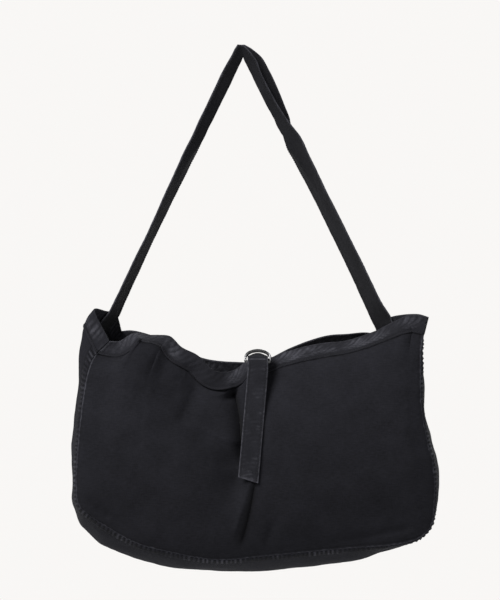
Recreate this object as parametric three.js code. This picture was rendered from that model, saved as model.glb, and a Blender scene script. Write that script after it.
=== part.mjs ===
// A newspaper delivery bag of washed canvas, hanging from its shoulder strap.
// Millimetres, +Z up, the front panel faces -Y. The origin is where the strap bears when the bag is hung or worn.
import * as THREE from "three";

// The bag as it is cut and sewn.
const bagWidth = 482; // front panel at its widest
const bagHeight = 325; // from the right corner of the mouth to the lowest point of the bottom seam
const bagDepth = 170; // cut width of the gusset
const strapDrop = 350; // from where the strap is hung down to the right corner of the mouth
const sway = 14; // how far the middle of the bag hangs to the right of that point
const clothThickness = 1.4;
const hemThickness = 2.8; // the mouth's edge is folded over, so it is two layers
const hemWidth = 25;

// The shoulder strap, sewn to the inside of the gusset at both ends.
const strapWidth = 38;
const strapThickness = 2.4;
const strapSewn = 52;
const armBow = 2.6; // how far each arm of the strap bows outwards
const armSag = 1.6; // where it bows most: 1 is half-way down, more is lower

// The closing strap, its keeper and the two D-rings.
const tabWidth = 27.5;
const tabThickness = 2;
const tabTail = 186; // from the rings to the free end
const tabSewn = 32; // how far it is sewn down the back of the mouth
const tabCup = 5.2; // how far its edges drop where it is bent under the rings' bows
const tabClear = 7; // how far below the rings' bars its tail starts
const tabSettle = 50; // how far below them its tail comes to lie on the panel
const bendSlack = 1; // how far its bends stand off the mouth and the bars
const keeperWidth = 24;
const keeperThickness = 1.6;
const keeperDrop = 38; // from the front edge of the mouth to the keeper's sewn end
const tabMiddle = 6; // how far the closing strap crosses the mouth to the right of the bag's middle
const tabLean = 5.2; // degrees that the tail hangs to the left
const tabEndSlant = 12; // degrees that its free end is cut off square
const ringWidth = 30.5; // inside the ring, along its bar
const ringRise = 17; // from the middle of the bar to the middle of the bow
const ringLeg = 5; // the straight part at each end of the bar
const ringCorner = 2.5; // the bend between the bar and each leg
const ringWire = 3;
const ringTilt = 62; // degrees that the rings stand up from level
const ringSeat = 19; // how far the lower ring's bar sits below the front edge of the mouth

const gap = 0.4; // clearance between neighbouring pieces
const fill = 24; // how far the contents push each panel out
const gatherLength = 90; // how far the pull of the shoulder strap reaches down the gusset
const crownAcross = 0.6; // how steeply a filled panel rises from its side seams: 1 is a round arch, 0 a box
const crownDown = 0.75; // the same from the hem and the bottom seam
const rimFade = 3; // how soon the shape of the mouth's edge dies out below it

// Mesh steps.
const stepsAcross = 32;
const stepsDown = 16;
const hemSteps = 2;
const armSteps = 16;
const strapColumns = 6;
const profileStep = 2; // spacing of the outline that a strap lies on
const keeperSpacing = 4;
const tabSpacing = 9;
const straightenings = 300; // rounds of pulling a strap straight over a hollow

// The seam between the front panel and the gusset, from the left corner of the mouth round the bottom to the right.
// across: share of half the width from the middle. down: share of the height below the right corner.
// depth: share of half the gusset. bulge: how far the gusset bows out, as a share of its width.
const frontSeam = [
  { across: -0.8, down: 0.1, depth: -0.5, bulge: 0.04 },
  { across: -0.885, down: 0.165, depth: -0.58, bulge: 0.055 },
  { across: -0.918, down: 0.225, depth: -0.66, bulge: 0.08 },
  { across: -0.947, down: 0.349, depth: -0.76, bulge: 0.076 },
  { across: -0.969, down: 0.515, depth: -0.84, bulge: 0.07 },
  { across: -0.982, down: 0.68, depth: -0.88, bulge: 0.04 },
  { across: -0.968, down: 0.765, depth: -0.9, bulge: 0.062 },
  { across: -0.905, down: 0.813, depth: -0.9, bulge: 0.118, corner: true },
  { across: -0.8, down: 0.863, depth: -0.91, bulge: 0.155 },
  { across: -0.65, down: 0.925, depth: -0.92, bulge: 0.15 },
  { across: -0.45, down: 0.965, depth: -0.92, bulge: 0.15 },
  { across: -0.2, down: 0.995, depth: -0.92, bulge: 0.118 },
  { across: 0.03, down: 0.982, depth: -0.92, bulge: 0.138 },
  { across: 0.28, down: 0.964, depth: -0.92, bulge: 0.132 },
  { across: 0.55, down: 0.946, depth: -0.92, bulge: 0.13 },
  { across: 0.79, down: 0.932, depth: -0.91, bulge: 0.06 },
  { across: 0.915, down: 0.907, depth: -0.9, bulge: 0.05 },
  { across: 0.98, down: 0.858, depth: -0.9, bulge: 0.045, corner: true },
  { across: 1, down: 0.763, depth: -0.89, bulge: 0.055 },
  { across: 0.995, down: 0.614, depth: -0.86, bulge: 0.062 },
  { across: 0.96, down: 0.498, depth: -0.8, bulge: 0.05 },
  { across: 0.934, down: 0.382, depth: -0.74, bulge: 0.03 },
  { across: 0.93, down: 0.224, depth: -0.64, bulge: 0.062 },
  { across: 0.94, down: 0.1, depth: -0.56, bulge: 0.062 },
  { across: 0.974, down: 0, depth: -0.5, bulge: 0.01 },
];

// The same for the back panel.
const backSeam = [
  { across: -0.745, down: 0.06, depth: 0.66 },
  { across: -0.82, down: 0.14, depth: 0.74 },
  { across: -0.88, down: 0.24, depth: 0.82 },
  { across: -0.935, down: 0.4, depth: 0.86 },
  { across: -0.965, down: 0.56, depth: 0.88 },
  { across: -0.98, down: 0.7, depth: 0.9 },
  { across: -0.962, down: 0.78, depth: 0.9 },
  { across: -0.89, down: 0.838, depth: 0.9, corner: true },
  { across: -0.76, down: 0.885, depth: 0.91 },
  { across: -0.55, down: 0.94, depth: 0.92 },
  { across: -0.2, down: 0.978, depth: 0.92 },
  { across: 0.2, down: 0.975, depth: 0.92 },
  { across: 0.55, down: 0.945, depth: 0.92 },
  { across: 0.8, down: 0.905, depth: 0.91 },
  { across: 0.925, down: 0.85, depth: 0.9, corner: true },
  { across: 0.98, down: 0.76, depth: 0.9 },
  { across: 0.99, down: 0.64, depth: 0.89 },
  { across: 0.955, down: 0.48, depth: 0.88 },
  { across: 0.91, down: 0.33, depth: 0.87 },
  { across: 0.84, down: 0.19, depth: 0.86 },
  { across: 0.74, down: 0.1, depth: 0.84 },
];

// The front edge of the mouth, left to right. lean: degrees that the hem below it tips back from upright.
const frontMouth = [
  { across: -0.745, down: 0.1, depth: -0.42, lean: 45 },
  { across: -0.66, down: 0.068, depth: -0.31, lean: 66 },
  { across: -0.588, down: 0.077, depth: -0.28, lean: 66 },
  { across: -0.532, down: 0.077, depth: -0.28, lean: 60 },
  { across: -0.465, down: 0.08, depth: -0.33, lean: 38 },
  { across: -0.398, down: 0.125, depth: -0.4, lean: 22 },
  { across: -0.31, down: 0.158, depth: -0.46, lean: 4 },
  { across: -0.22, down: 0.22, depth: -0.5, lean: -8 },
  { across: -0.15, down: 0.228, depth: -0.4, lean: 36 },
  { across: -0.084, down: 0.212, depth: -0.27, lean: 60 },
  { across: -0.035, down: 0.184, depth: -0.18, lean: 56 },
  { across: 0.02, down: 0.176, depth: -0.15, lean: 48 },
  { across: 0.084, down: 0.176, depth: -0.14, lean: 46 },
  { across: 0.157, down: 0.152, depth: -0.15, lean: 42 },
  { across: 0.353, down: 0.114, depth: -0.2, lean: 38 },
  { across: 0.532, down: 0.097, depth: -0.24, lean: 46 },
  { across: 0.672, down: 0.062, depth: -0.28, lean: 42 },
  { across: 0.784, down: 0.02, depth: -0.36, lean: 30 },
  { across: 0.874, down: -0.01, depth: -0.45, lean: 8 },
];

// The back edge of the mouth, left to right.
const backMouth = [
  { across: -0.68, down: 0.058, depth: 0.56, lean: 22 },
  { across: -0.476, down: 0.104, depth: 0.42, lean: 34 },
  { across: -0.286, down: 0.172, depth: 0.28, lean: 30 },
  { across: -0.1, down: 0.188, depth: 0.16, lean: 24 },
  { across: 0.02, down: 0.187, depth: 0.13, lean: 22 },
  { across: 0.1, down: 0.17, depth: 0.15, lean: 24 },
  { across: 0.23, down: 0.124, depth: 0.22, lean: 30 },
  { across: 0.403, down: 0.081, depth: 0.32, lean: 34 },
  { across: 0.532, down: 0.072, depth: 0.42, lean: 32 },
  { across: 0.66, down: 0.068, depth: 0.64, lean: 24 },
];

// The top edge of the gusset between its seams. along: share of the gusset's width from the front seam.
const strapFrom = (1 - strapWidth / bagDepth) / 2;
const strapTo = 1 - strapFrom;
const gussetTopLeft = [
  { along: 0.27, across: -0.882, down: -0.03, depth: -0.4 },
  { along: strapFrom, across: -0.822, down: -0.024, depth: -0.2 },
  { along: strapTo, across: -0.77, down: -0.01, depth: 0.21 },
];
const gussetTopRight = [
  { along: 0.2, across: 0.91, down: -0.012, depth: -0.2 },
  { along: strapFrom, across: 0.782, down: -0.002, depth: 0 },
  { along: strapTo, across: 0.693, down: 0.034, depth: 0.32 },
];
const gussetColumns = [0, 0.07, 0.17, 0.27, strapFrom, strapTo, 0.73, 0.83, 0.93, 1];

// Folds in the panels, as lines on the front view. push: how far the cloth is pushed into the bag, in shares of the
// depth. spread: how wide the fold is, in shares of the width.
const frontFolds = [
  { from: [-0.125, 0.27], to: [-0.07, 0.56], push: 0.055, spread: 0.018 },
  { from: [-0.02, 0.24], to: [-0.04, 0.62], push: 0.07, spread: 0.1 },
  { from: [-0.03, 0.7], to: [-0.1, 0.98], push: -0.03, spread: 0.016 },
  { from: [0.012, 0.72], to: [-0.045, 0.99], push: 0.04, spread: 0.016 },
  { from: [-0.48, 0.3], to: [-0.28, 0.5], push: 0.035, spread: 0.06 },
  { from: [0.42, 0.935], to: [0.86, 0.88], push: 0.03, spread: 0.014 },
];
const backFolds = [
  { from: [0, 0.22], to: [0.06, 0.72], push: -0.09, spread: 0.11 },
  { from: [-0.5, 0.25], to: [-0.2, 0.62], push: -0.035, spread: 0.06 },
  { from: [0.62, 0.2], to: [0.34, 0.6], push: -0.035, spread: 0.05 },
];

// How the strap lies between where it is hung (along 0) and the gusset (along 1). It may be folded lengthwise.
// front and back: degrees that the half of the strap towards that side turns up and away from the other arm.
// crease: where the fold is, across the strap from its front edge.
const leftArm = [
  { along: 0.02, front: 50, back: 50, crease: 0.5 },
  { along: 0.08, front: 60, back: 56, crease: 0.5 },
  { along: 0.2, front: 55, back: 45, crease: 0.5 },
  { along: 0.3, front: 52, back: 8, crease: 0.5 },
  { along: 0.38, front: 34, back: -10, crease: 0.5 },
  { along: 0.5, front: 19, back: -17, crease: 0.5 },
  { along: 0.7, front: 14.5, back: -14.5, crease: 0.5 },
  { along: 0.85, front: 17, back: -17, crease: 0.5 },
  { along: 1, front: 19, back: -19, crease: 0.5 },
];
const rightArm = [
  { along: 0.02, front: 70, back: 74, crease: 0.4 },
  { along: 0.06, front: 74, back: 80, crease: 0.35 },
  { along: 0.15, front: 72, back: 78, crease: 0.36 },
  { along: 0.22, front: 68, back: 70, crease: 0.4 },
  { along: 0.28, front: 70, back: 66, crease: 0.47 },
  { along: 0.33, front: 66, back: 0, crease: 0.56 },
  { along: 0.4, front: 54, back: -12, crease: 0.54 },
  { along: 0.5, front: 32, back: -27, crease: 0.5 },
  { along: 0.7, front: 30, back: -30, crease: 0.5 },
  { along: 0.85, front: 32, back: -32, crease: 0.5 },
  { along: 1, front: 34, back: -34, crease: 0.5 },
];
const crest = { front: 78, back: 78, crease: 0.5 };
const crestLean = 15; // degrees that the folded strap leans to the left where it is hung

const vec = (x, y, z) => new THREE.Vector3(x, y, z);
const lerp = THREE.MathUtils.lerp;
const radians = THREE.MathUtils.degToRad;
const smooth = (x) => THREE.MathUtils.smoothstep(x, 0, 1);
const shares = (steps) => Array.from({ length: steps + 1 }, (_, i) => i / steps);

// A row of a table as a point of the hanging bag.
function place({ across, down, depth }) {
  return vec(sway + (across * bagWidth) / 2, (depth * bagDepth) / 2, -strapDrop - down * bagHeight);
}

// The value of a column part-way through a table, where t runs from 0 at its first row to 1 at its last.
function columnAt(rows, name, t) {
  const at = THREE.MathUtils.clamp(t, 0, 1) * (rows.length - 1);
  const row = Math.min(Math.floor(at), rows.length - 2);
  return lerp(rows[row][name], rows[row + 1][name], smooth(at - row));
}

const curveThrough = (points) => new THREE.CatmullRomCurve3(points, false, "centripetal");

// A seam curve with the share of its length at which each of its two bottom corners lies.
function seamCurve(rows) {
  const curve = curveThrough(rows.map(place));
  const perRow = 20;
  const lengths = curve.getLengths(perRow * (rows.length - 1));
  const total = lengths[lengths.length - 1];
  const corners = rows.flatMap((row, i) => (row.corner ? [lengths[i * perRow] / total] : []));
  return { curve, corners, total };
}

// The seam's stations: hem, left side, bottom, right side, hem.
function seamStations({ curve, corners, total }) {
  const [left, right] = corners;
  const hem = hemWidth / total;
  const stretch = (from, to, steps) => shares(steps).map((t) => lerp(from, to, t));
  const at = [
    ...stretch(0, hem, hemSteps).slice(0, -1),
    ...stretch(hem, left, stepsDown).slice(0, -1),
    ...stretch(left, right, stepsAcross).slice(0, -1),
    ...stretch(right, 1 - hem, stepsDown).slice(0, -1),
    ...stretch(1 - hem, 1, hemSteps),
  ];
  return at.map((u) => ({ u, t: curve.getUtoTmapping(u), point: curve.getPointAt(u) }));
}

// The pull of one fold at a point of the front view.
function foldPush({ from, to, push, spread }, point) {
  const start = place({ across: from[0], down: from[1], depth: 0 });
  const end = place({ across: to[0], down: to[1], depth: 0 });
  const line = end.clone().sub(start);
  const flat = vec(point.x, 0, point.z).sub(start);
  const along = flat.dot(line) / line.lengthSq();
  const nearest = line.multiplyScalar(THREE.MathUtils.clamp(along, 0, 1));
  const away = flat.sub(nearest).length() / (spread * bagWidth);
  return push * bagDepth * Math.exp(-away * away);
}

// Unit normals at the points of a grid, weighted by the area of the faces round each.
function gridNormals(points) {
  const normals = points.map((row) => row.map(() => vec(0, 0, 0)));
  const add = (corners) => {
    const [a, b, c] = corners.map(([r, k]) => points[r][k]);
    const face = b.clone().sub(a).cross(c.clone().sub(a));
    corners.forEach(([r, k]) => normals[r][k].add(face));
  };
  for (let r = 0; r + 1 < points.length; r++) {
    for (let k = 0; k + 1 < points[r].length; k++) {
      add([[r, k], [r + 1, k], [r + 1, k + 1]]);
      add([[r, k], [r + 1, k + 1], [r, k + 1]]);
    }
  }
  normals.forEach((row) => row.forEach((n) => n.normalize()));
  return normals;
}

const grid = (points) => ({ points, normals: gridNormals(points) });

// Rows first to last of a grid. A trimmed end row is moved towards its neighbour until the end faces are clear.
function cut({ points, normals }, first, last, trimFirst = false, trimLast = false) {
  const rows = points.slice(first, last + 1).map((row) => row.map((p) => p.clone()));
  const trim = (end, next, at) => {
    const facing = end.map((p, k) => {
      const along = end[Math.min(k + 1, end.length - 1)].clone().sub(end[Math.max(k - 1, 0)]).normalize();
      return along.cross(normals[at][k]).normalize();
    });
    end.forEach((p, k) => {
      const back = next[k].clone().sub(p).normalize();
      p.addScaledVector(back, gap / Math.max(0.2, Math.abs(back.dot(facing[k]))));
    });
  };
  if (trimFirst) trim(rows[0], rows[1], first);
  if (trimLast) trim(rows[rows.length - 1], rows[rows.length - 2], last);
  return { points: rows, normals: normals.slice(first, last + 1) };
}

// A wall of cloth round a grid of points on its middle surface.
function wall({ points, normals }, thickness) {
  const rows = points.length;
  const columns = points[0].length;
  const position = [];
  for (const side of [thickness / 2, -thickness / 2]) {
    points.forEach((row, r) => row.forEach((p, k) => position.push(...p.clone().addScaledVector(normals[r][k], side))));
  }
  const far = rows * columns;
  const at = (r, k) => r * columns + k;
  const index = [];
  for (let r = 0; r + 1 < rows; r++) {
    for (let k = 0; k + 1 < columns; k++) {
      const [a, b, c, d] = [at(r, k), at(r + 1, k), at(r + 1, k + 1), at(r, k + 1)];
      index.push(a, b, c, a, c, d);
      index.push(far + a, far + c, far + b, far + a, far + d, far + c);
    }
  }
  const rim = [];
  for (let k = columns - 1; k > 0; k--) rim.push(at(0, k));
  for (let r = 0; r < rows - 1; r++) rim.push(at(r, 0));
  for (let k = 0; k < columns - 1; k++) rim.push(at(rows - 1, k));
  for (let r = rows - 1; r > 0; r--) rim.push(at(r, columns - 1));
  rim.forEach((p, i) => {
    const q = rim[(i + 1) % rim.length];
    index.push(q, p, far + p, q, far + p, far + q);
  });
  const geometry = new THREE.BufferGeometry();
  geometry.setAttribute("position", new THREE.Float32BufferAttribute(position, 3));
  geometry.setIndex(index);
  geometry.computeVertexNormals();
  return geometry;
}

// A panel with its hem: rows from the mouth down to the bottom seam, columns from left to right.
// side is -1 for the front, where the panel faces -Y, and 1 for the back.
function panelPoints(stations, mouthRows, folds, side) {
  const left = stations.slice(0, hemSteps + stepsDown + 1).map((s) => s.point);
  const bottom = stations.slice(hemSteps + stepsDown, hemSteps + stepsDown + stepsAcross + 1).map((s) => s.point);
  const right = stations.slice(hemSteps + stepsDown + stepsAcross).map((s) => s.point).reverse();
  const edge = [left[0], ...mouthRows.map(place), right[0]];
  const mouth = curveThrough(edge);
  const rim = shares(stepsAcross).map((u) => mouth.getPointAt(u));
  const leans = [mouthRows[0], ...mouthRows, mouthRows[mouthRows.length - 1]];
  const drops = shares(stepsAcross).map((u, i) => {
    const lean = radians(columnAt(leans, "lean", mouth.getUtoTmapping(u)));
    const along = mouth.getTangentAt(u);
    const down = vec(0, side * Math.sin(lean), -Math.cos(lean));
    down.addScaledVector(along, -down.dot(along)).normalize();
    const atSeam = (i < stepsAcross / 2 ? left : right)[hemSteps].clone().sub(i < stepsAcross / 2 ? left[0] : right[0]);
    const seamShare = 1 - smooth(Math.min(i, stepsAcross - i) / 2);
    return down.lerp(atSeam.normalize(), seamShare).normalize().multiplyScalar(hemWidth);
  });
  const hem = shares(hemSteps).map((t, r) =>
    rim.map((p, i) => {
      if (i === 0) return left[r];
      if (i === stepsAcross) return right[r];
      return p.clone().addScaledVector(drops[i], t);
    }),
  );
  const top = hem[hemSteps];
  const body = shares(stepsDown).slice(1).map((v, j) =>
    shares(stepsAcross).map((u, i) => {
      const [l, r] = [left[hemSteps + j + 1], right[hemSteps + j + 1]];
      if (i === 0) return l;
      if (i === stepsAcross) return r;
      if (j === stepsDown - 1) return bottom[i];
      const topLine = top[0].clone().lerp(top[stepsAcross], u);
      const bottomLine = bottom[0].clone().lerp(bottom[stepsAcross], u);
      const point = l.clone().lerp(r, u).add(top[i].clone().lerp(bottom[i], v)).sub(topLine.clone().lerp(bottomLine, v));
      const fade = Math.pow(1 - v, rimFade) - (1 - v);
      point.y += (top[i].y - topLine.y) * fade;
      const crown = Math.pow(4 * u * (1 - u), crownAcross) * Math.pow(4 * v * (1 - v), crownDown);
      const inside = smooth(Math.min(u, 1 - u) * 8) * smooth((1 - v) * 7);
      point.y += side * fill * crown;
      point.y += inside * folds.reduce((sum, f) => sum + foldPush(f, point), 0);
      return point;
    }),
  );
  return [...hem, ...body];
}

// The top edge of the gusset as a function of the share of its width.
function gussetTop(rows, front, back) {
  const all = [{ along: 0, point: front }, ...rows.map((r) => ({ along: r.along, point: place(r) })), { along: 1, point: back }];
  const curve = curveThrough(all.map((r) => r.point));
  return (along) => {
    const row = Math.max(0, all.findLastIndex((r, i) => i < all.length - 1 && r.along <= along));
    const part = (along - all[row].along) / (all[row + 1].along - all[row].along);
    return curve.getPoint((row + part) / (all.length - 1));
  };
}

// For each station of a seam, the panel's next point in from it.
function panelNeighbours(points) {
  const last = points.length - 1;
  const right = points[0].length - 1;
  const sides = points.slice(0, last);
  return [
    ...sides.map((row) => row[1]),
    ...points[last].map((p, k) => points[last - 1][THREE.MathUtils.clamp(k, 1, right - 1)]),
    ...sides.map((row) => row[right - 1]).reverse(),
  ];
}

// How far from a seam the gusset starts so that it clears the panel, whatever the angle between them.
function seamClearance(panelWay, gussetWay, thickness) {
  const half = thickness / 2;
  const cosine = panelWay.dot(gussetWay);
  if (cosine <= 0) return half + gap;
  return (half + gap + half * cosine) / Math.sqrt(Math.max(0.1, 1 - cosine * cosine));
}

// The gusset: rows along the seam, columns from the front seam to the back seam, clear of the panels' edges.
function gussetPoints(front, back, frontTotal, panels, thickness) {
  const count = front.length;
  const regular = (i, w) => {
    const near = Math.max(0, i - 1);
    const next = Math.min(count - 1, i + 1);
    const run = front[next].point.clone().add(back[next].point).sub(front[near].point).sub(back[near].point);
    const outward = vec(run.z, 0, -run.x).normalize();
    const bulge = columnAt(frontSeam, "bulge", front[i].t) * bagDepth;
    return front[i].point.clone().lerp(back[i].point, w).addScaledVector(outward, bulge * 4 * w * (1 - w));
  };
  const ends = [
    { station: 0, top: gussetTop(gussetTopLeft, front[0].point, back[0].point) },
    { station: count - 1, top: gussetTop(gussetTopRight, front[count - 1].point, back[count - 1].point) },
  ];
  return front.map((s, i) => {
    const row = gussetColumns.map((w) => {
      const point = regular(i, w);
      for (const { station, top } of ends) {
        const away = (Math.abs(s.u - front[station].u) * frontTotal) / gatherLength;
        point.addScaledVector(top(w).sub(regular(station, w)), 1 - smooth(away));
      }
      return point;
    });
    const last = row.length - 1;
    for (const [edge, inner, seam, next] of [[0, 1, front, panels[0][i]], [last, last - 1, back, panels[1][i]]]) {
      const along = seam[Math.min(i + 1, count - 1)].point.clone().sub(seam[Math.max(i - 1, 0)].point).normalize();
      const square = (way) => way.clone().addScaledVector(along, -way.dot(along));
      const inward = row[inner].clone().sub(row[edge]).normalize();
      const panelWay = square(next.clone().sub(row[edge])).normalize();
      const clear = seamClearance(panelWay, square(inward).normalize(), thickness);
      row[edge] = row[edge].clone().addScaledVector(inward, clear / square(inward).length());
    }
    return row;
  });
}

const frontCurve = seamCurve(frontSeam);
const frontStations = seamStations(frontCurve);
const backStations = seamStations(seamCurve(backSeam));
const lastStation = frontStations.length - 1;

const frontGrid = grid(panelPoints(frontStations, frontMouth, frontFolds, -1));
const backGrid = grid(panelPoints(backStations, backMouth, backFolds, 1));
const beside = [panelNeighbours(frontGrid.points), panelNeighbours(backGrid.points)];
const gussetGrid = grid(gussetPoints(frontStations, backStations, frontCurve.total, beside, clothThickness));
const gussetHemGrid = grid(gussetPoints(frontStations, backStations, frontCurve.total, beside, hemThickness));

// One end of the strap on the inside of the gusset, from the mouth down: rows of points across the strap.
function sewnEnd(station, step) {
  const fromEdge = gussetColumns.indexOf(strapFrom);
  const toEdge = gussetColumns.indexOf(strapTo);
  const offset = hemThickness / 2 + 3 * gap + strapThickness / 2;
  const rows = [];
  for (let i = station; Math.abs(frontStations[i].u - frontStations[station].u) * frontCurve.total <= strapSewn; i += step) {
    const [a, b] = [gussetHemGrid.points[i][fromEdge], gussetHemGrid.points[i][toEdge]];
    const [c, d] = [gussetHemGrid.points[i + step][fromEdge], gussetHemGrid.points[i + step][toEdge]];
    const run = c.clone().add(d).sub(a).sub(b).multiplyScalar(step);
    const inside = run.cross(b.clone().sub(a)).normalize();
    rows.push(shares(strapColumns).map((share) => a.clone().lerp(b, share).addScaledVector(inside, offset)));
  }
  return rows;
}

// Points across the strap. Each half goes from the crease towards its own side, turned towards outward.
function strapSection(crease, row, outward) {
  return shares(strapColumns).map((c) => {
    const out = Math.abs(c - row.crease) * strapWidth;
    const turn = radians(c < row.crease ? row.front : row.back);
    const side = c < row.crease ? -1 : 1;
    return crease.clone().add(vec(0, side * out * Math.cos(turn), 0)).addScaledVector(outward, out * Math.sin(turn));
  });
}

// One arm of the strap from where it is hung down to the mouth. side is -1 for the left arm.
// Its inner edge is pulled nearly straight.
function armRows(base, rows, side) {
  const top = vec(0, 0, strapThickness / 2);
  const foot = base[strapColumns].clone().setY((base[0].y + base[strapColumns].y) / 2);
  const run = foot.clone().sub(top).normalize();
  const outward = vec(side * Math.abs(run.z), 0, Math.abs(run.x)).normalize();
  return shares(armSteps).slice(0, -1).map((step) => {
    const t = lerp(rows[0].along, 1, step);
    const at = rows.findLastIndex((r, i) => i < rows.length - 1 && r.along <= t);
    const part = smooth((t - rows[at].along) / (rows[at + 1].along - rows[at].along));
    const value = (name) => lerp(rows[at][name], rows[at + 1][name], part);
    const row = { front: value("front"), back: value("back"), crease: value("crease") };
    const inner = Math.max(0, -Math.sin(radians(row.back))) * strapWidth * (1 - row.crease);
    const bow = armBow * Math.sin(Math.PI * Math.pow(t, armSag));
    return strapSection(top.clone().lerp(foot, t).addScaledVector(outward, inner + bow), row, outward);
  });
}

function strapPoints() {
  const left = sewnEnd(0, 1);
  const right = sewnEnd(lastStation, -1);
  const up = vec(-Math.sin(radians(crestLean)), 0, Math.cos(radians(crestLean)));
  return [
    ...left.slice().reverse(),
    ...armRows(left[0], leftArm, -1).reverse(),
    strapSection(vec(0, 0, strapThickness / 2), crest, up),
    ...armRows(right[0], rightArm, 1),
    ...right,
  ];
}

// The height of a panel's middle surface at a point of the front view, or null off the panel.
function surfaceAt(points, x, z) {
  const hit = new THREE.Vector3();
  const eye = new THREE.Ray(vec(x, -bagDepth * 2, z), vec(0, 1, 0));
  for (let r = 0; r + 1 < points.length; r++) {
    for (let k = 0; k + 1 < points[r].length; k++) {
      const [a, b, c, d] = [points[r][k], points[r + 1][k], points[r + 1][k + 1], points[r][k + 1]];
      if (eye.intersectTriangle(a, b, c, false, hit) || eye.intersectTriangle(a, c, d, false, hit)) return hit.y;
    }
  }
  return null;
}

// The outline of a panel under the closing strap, seen from the side: from the edge of the mouth down.
function profileUnderTab(points, side, drop) {
  const samples = [-0.5, -0.25, 0, 0.25, 0.5].map((share) => share * tabWidth);
  const rims = samples.map((s) => {
    const k = points[0].findIndex((p) => p.x > tabX + s);
    const [a, b] = [points[0][k - 1], points[0][k]];
    return a.clone().lerp(b, (tabX + s - a.x) / (b.x - a.x));
  });
  const outermost = (depths) => (side < 0 ? Math.min(...depths) : Math.max(...depths));
  const top = Math.max(...rims.map((p) => p.z));
  const profile = [vec(tabX, outermost(rims.map((p) => p.y)), top)];
  for (let z = top - profileStep; z > top - drop; z -= profileStep) {
    const x = tabX - (side < 0 ? Math.tan(radians(tabLean)) * Math.max(0, top - z - ringSeat) : 0);
    const depths = samples.map((s) => surfaceAt(points, x + s, z)).filter((y) => y !== null);
    if (depths.length === samples.length) profile.push(vec(x, outermost(depths), z));
  }
  return profile;
}

// A path moved off a profile by a distance that depends on how far down it is. It bridges hollows, as a strap does.
function offPath(profile, side, distanceAt) {
  let down = 0;
  const path = profile.map((p, i) => {
    if (i) down += p.distanceTo(profile[i - 1]);
    const next = profile[Math.min(i + 1, profile.length - 1)];
    const last = profile[Math.max(i - 1, 0)];
    const run = next.clone().sub(last);
    const outward = vec(0, run.z, -run.y).multiplyScalar(-side).normalize();
    return { down, point: p.clone().addScaledVector(outward, distanceAt(down)) };
  });
  for (let pass = 0; pass < straightenings; pass++) {
    for (let i = 1; i + 1 < path.length; i++) {
      const chord = (path[i - 1].point.y + path[i + 1].point.y) / 2;
      if ((chord - path[i].point.y) * side > 0) path[i].point.y = chord;
    }
  }
  return path;
}

// Points on a circle in the side view, from one direction to another the short way round.
function arc(centre, radius, from, to, steps) {
  const start = Math.atan2(from.z, from.y);
  let turn = Math.atan2(to.z, to.y) - start;
  if (turn > Math.PI) turn -= 2 * Math.PI;
  if (turn < -Math.PI) turn += 2 * Math.PI;
  return shares(steps).map((t) => {
    const angle = start + turn * t;
    return vec(centre.x, centre.y + radius * Math.cos(angle), centre.z + radius * Math.sin(angle));
  });
}

// A band of cloth along a path. Rows with a cup are bent across, their edges lower than their middle.
function bandGrid(path, width, columns) {
  return grid(path.map(({ point, cup = 0, slant = 0 }, i) => {
    const next = path[Math.min(i + 1, path.length - 1)].point;
    const last = path[Math.max(i - 1, 0)].point;
    const run = next.clone().sub(last).normalize();
    const across = vec(1, 0, 0).addScaledVector(run, -run.x).normalize();
    const under = across.clone().cross(run).normalize();
    return shares(columns).map((c) => {
      const out = 2 * c - 1;
      const reach = (width / 2 - (2 * cup * cup) / (3 * width / 2)) * out;
      return point.clone().addScaledVector(across, reach).addScaledVector(under, cup * out * out)
        .addScaledVector(run, slant * reach);
    });
  }));
}

// Points of a dense path at about the given spacing, with both of its ends.
function thin(path, spacing) {
  const kept = [path[0]];
  for (const p of path.slice(1)) if (p.distanceTo(kept[kept.length - 1]) >= spacing) kept.push(p);
  if (kept[kept.length - 1] !== path[path.length - 1]) kept[kept.length - 1] = path[path.length - 1];
  return kept;
}

// Where the closing strap crosses the mouth, and the seat of the rings on the front hem.
const tabX = sway + tabMiddle;
const frontProfile = profileUnderTab(frontGrid.points, -1, tabTail + hemWidth);
const backProfile = profileUnderTab(backGrid.points, 1, tabSewn + hemWidth);
const frontRim = frontProfile[0];
const backRim = backProfile[0];
const uphill = vec(0, frontRim.y, frontRim.z).sub(vec(0, frontProfile[6].y, frontProfile[6].z)).normalize();
const offHem = vec(0, -uphill.z, uphill.y);
const ringUp = vec(0, Math.cos(radians(ringTilt)), Math.sin(radians(ringTilt)));
const ringOff = vec(0, -ringUp.z, ringUp.y);
const margin = 3 * gap; // room that a strap leaves over what it crosses
const keeperFloor = hemThickness / 2 + margin + gap + keeperThickness / 2;
const keeperBend = ringWire / 2 + gap + keeperThickness / 2;
const lowerBar = frontRim.clone().addScaledVector(uphill, -ringSeat).addScaledVector(offHem, keeperFloor + keeperBend);
const upperBar = lowerBar.clone().addScaledVector(ringOff, ringWire + gap);
const onBars = keeperBend + keeperThickness / 2 + margin + tabThickness / 2;
const upperHeight = upperBar.clone().sub(frontRim).dot(offHem);

// How far off the hem a layer lies that starts on the rings and comes down to its floor.
const settle = (from, floor, length) => (down) => lerp(from, floor, smooth((down - ringSeat) / length));

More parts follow.
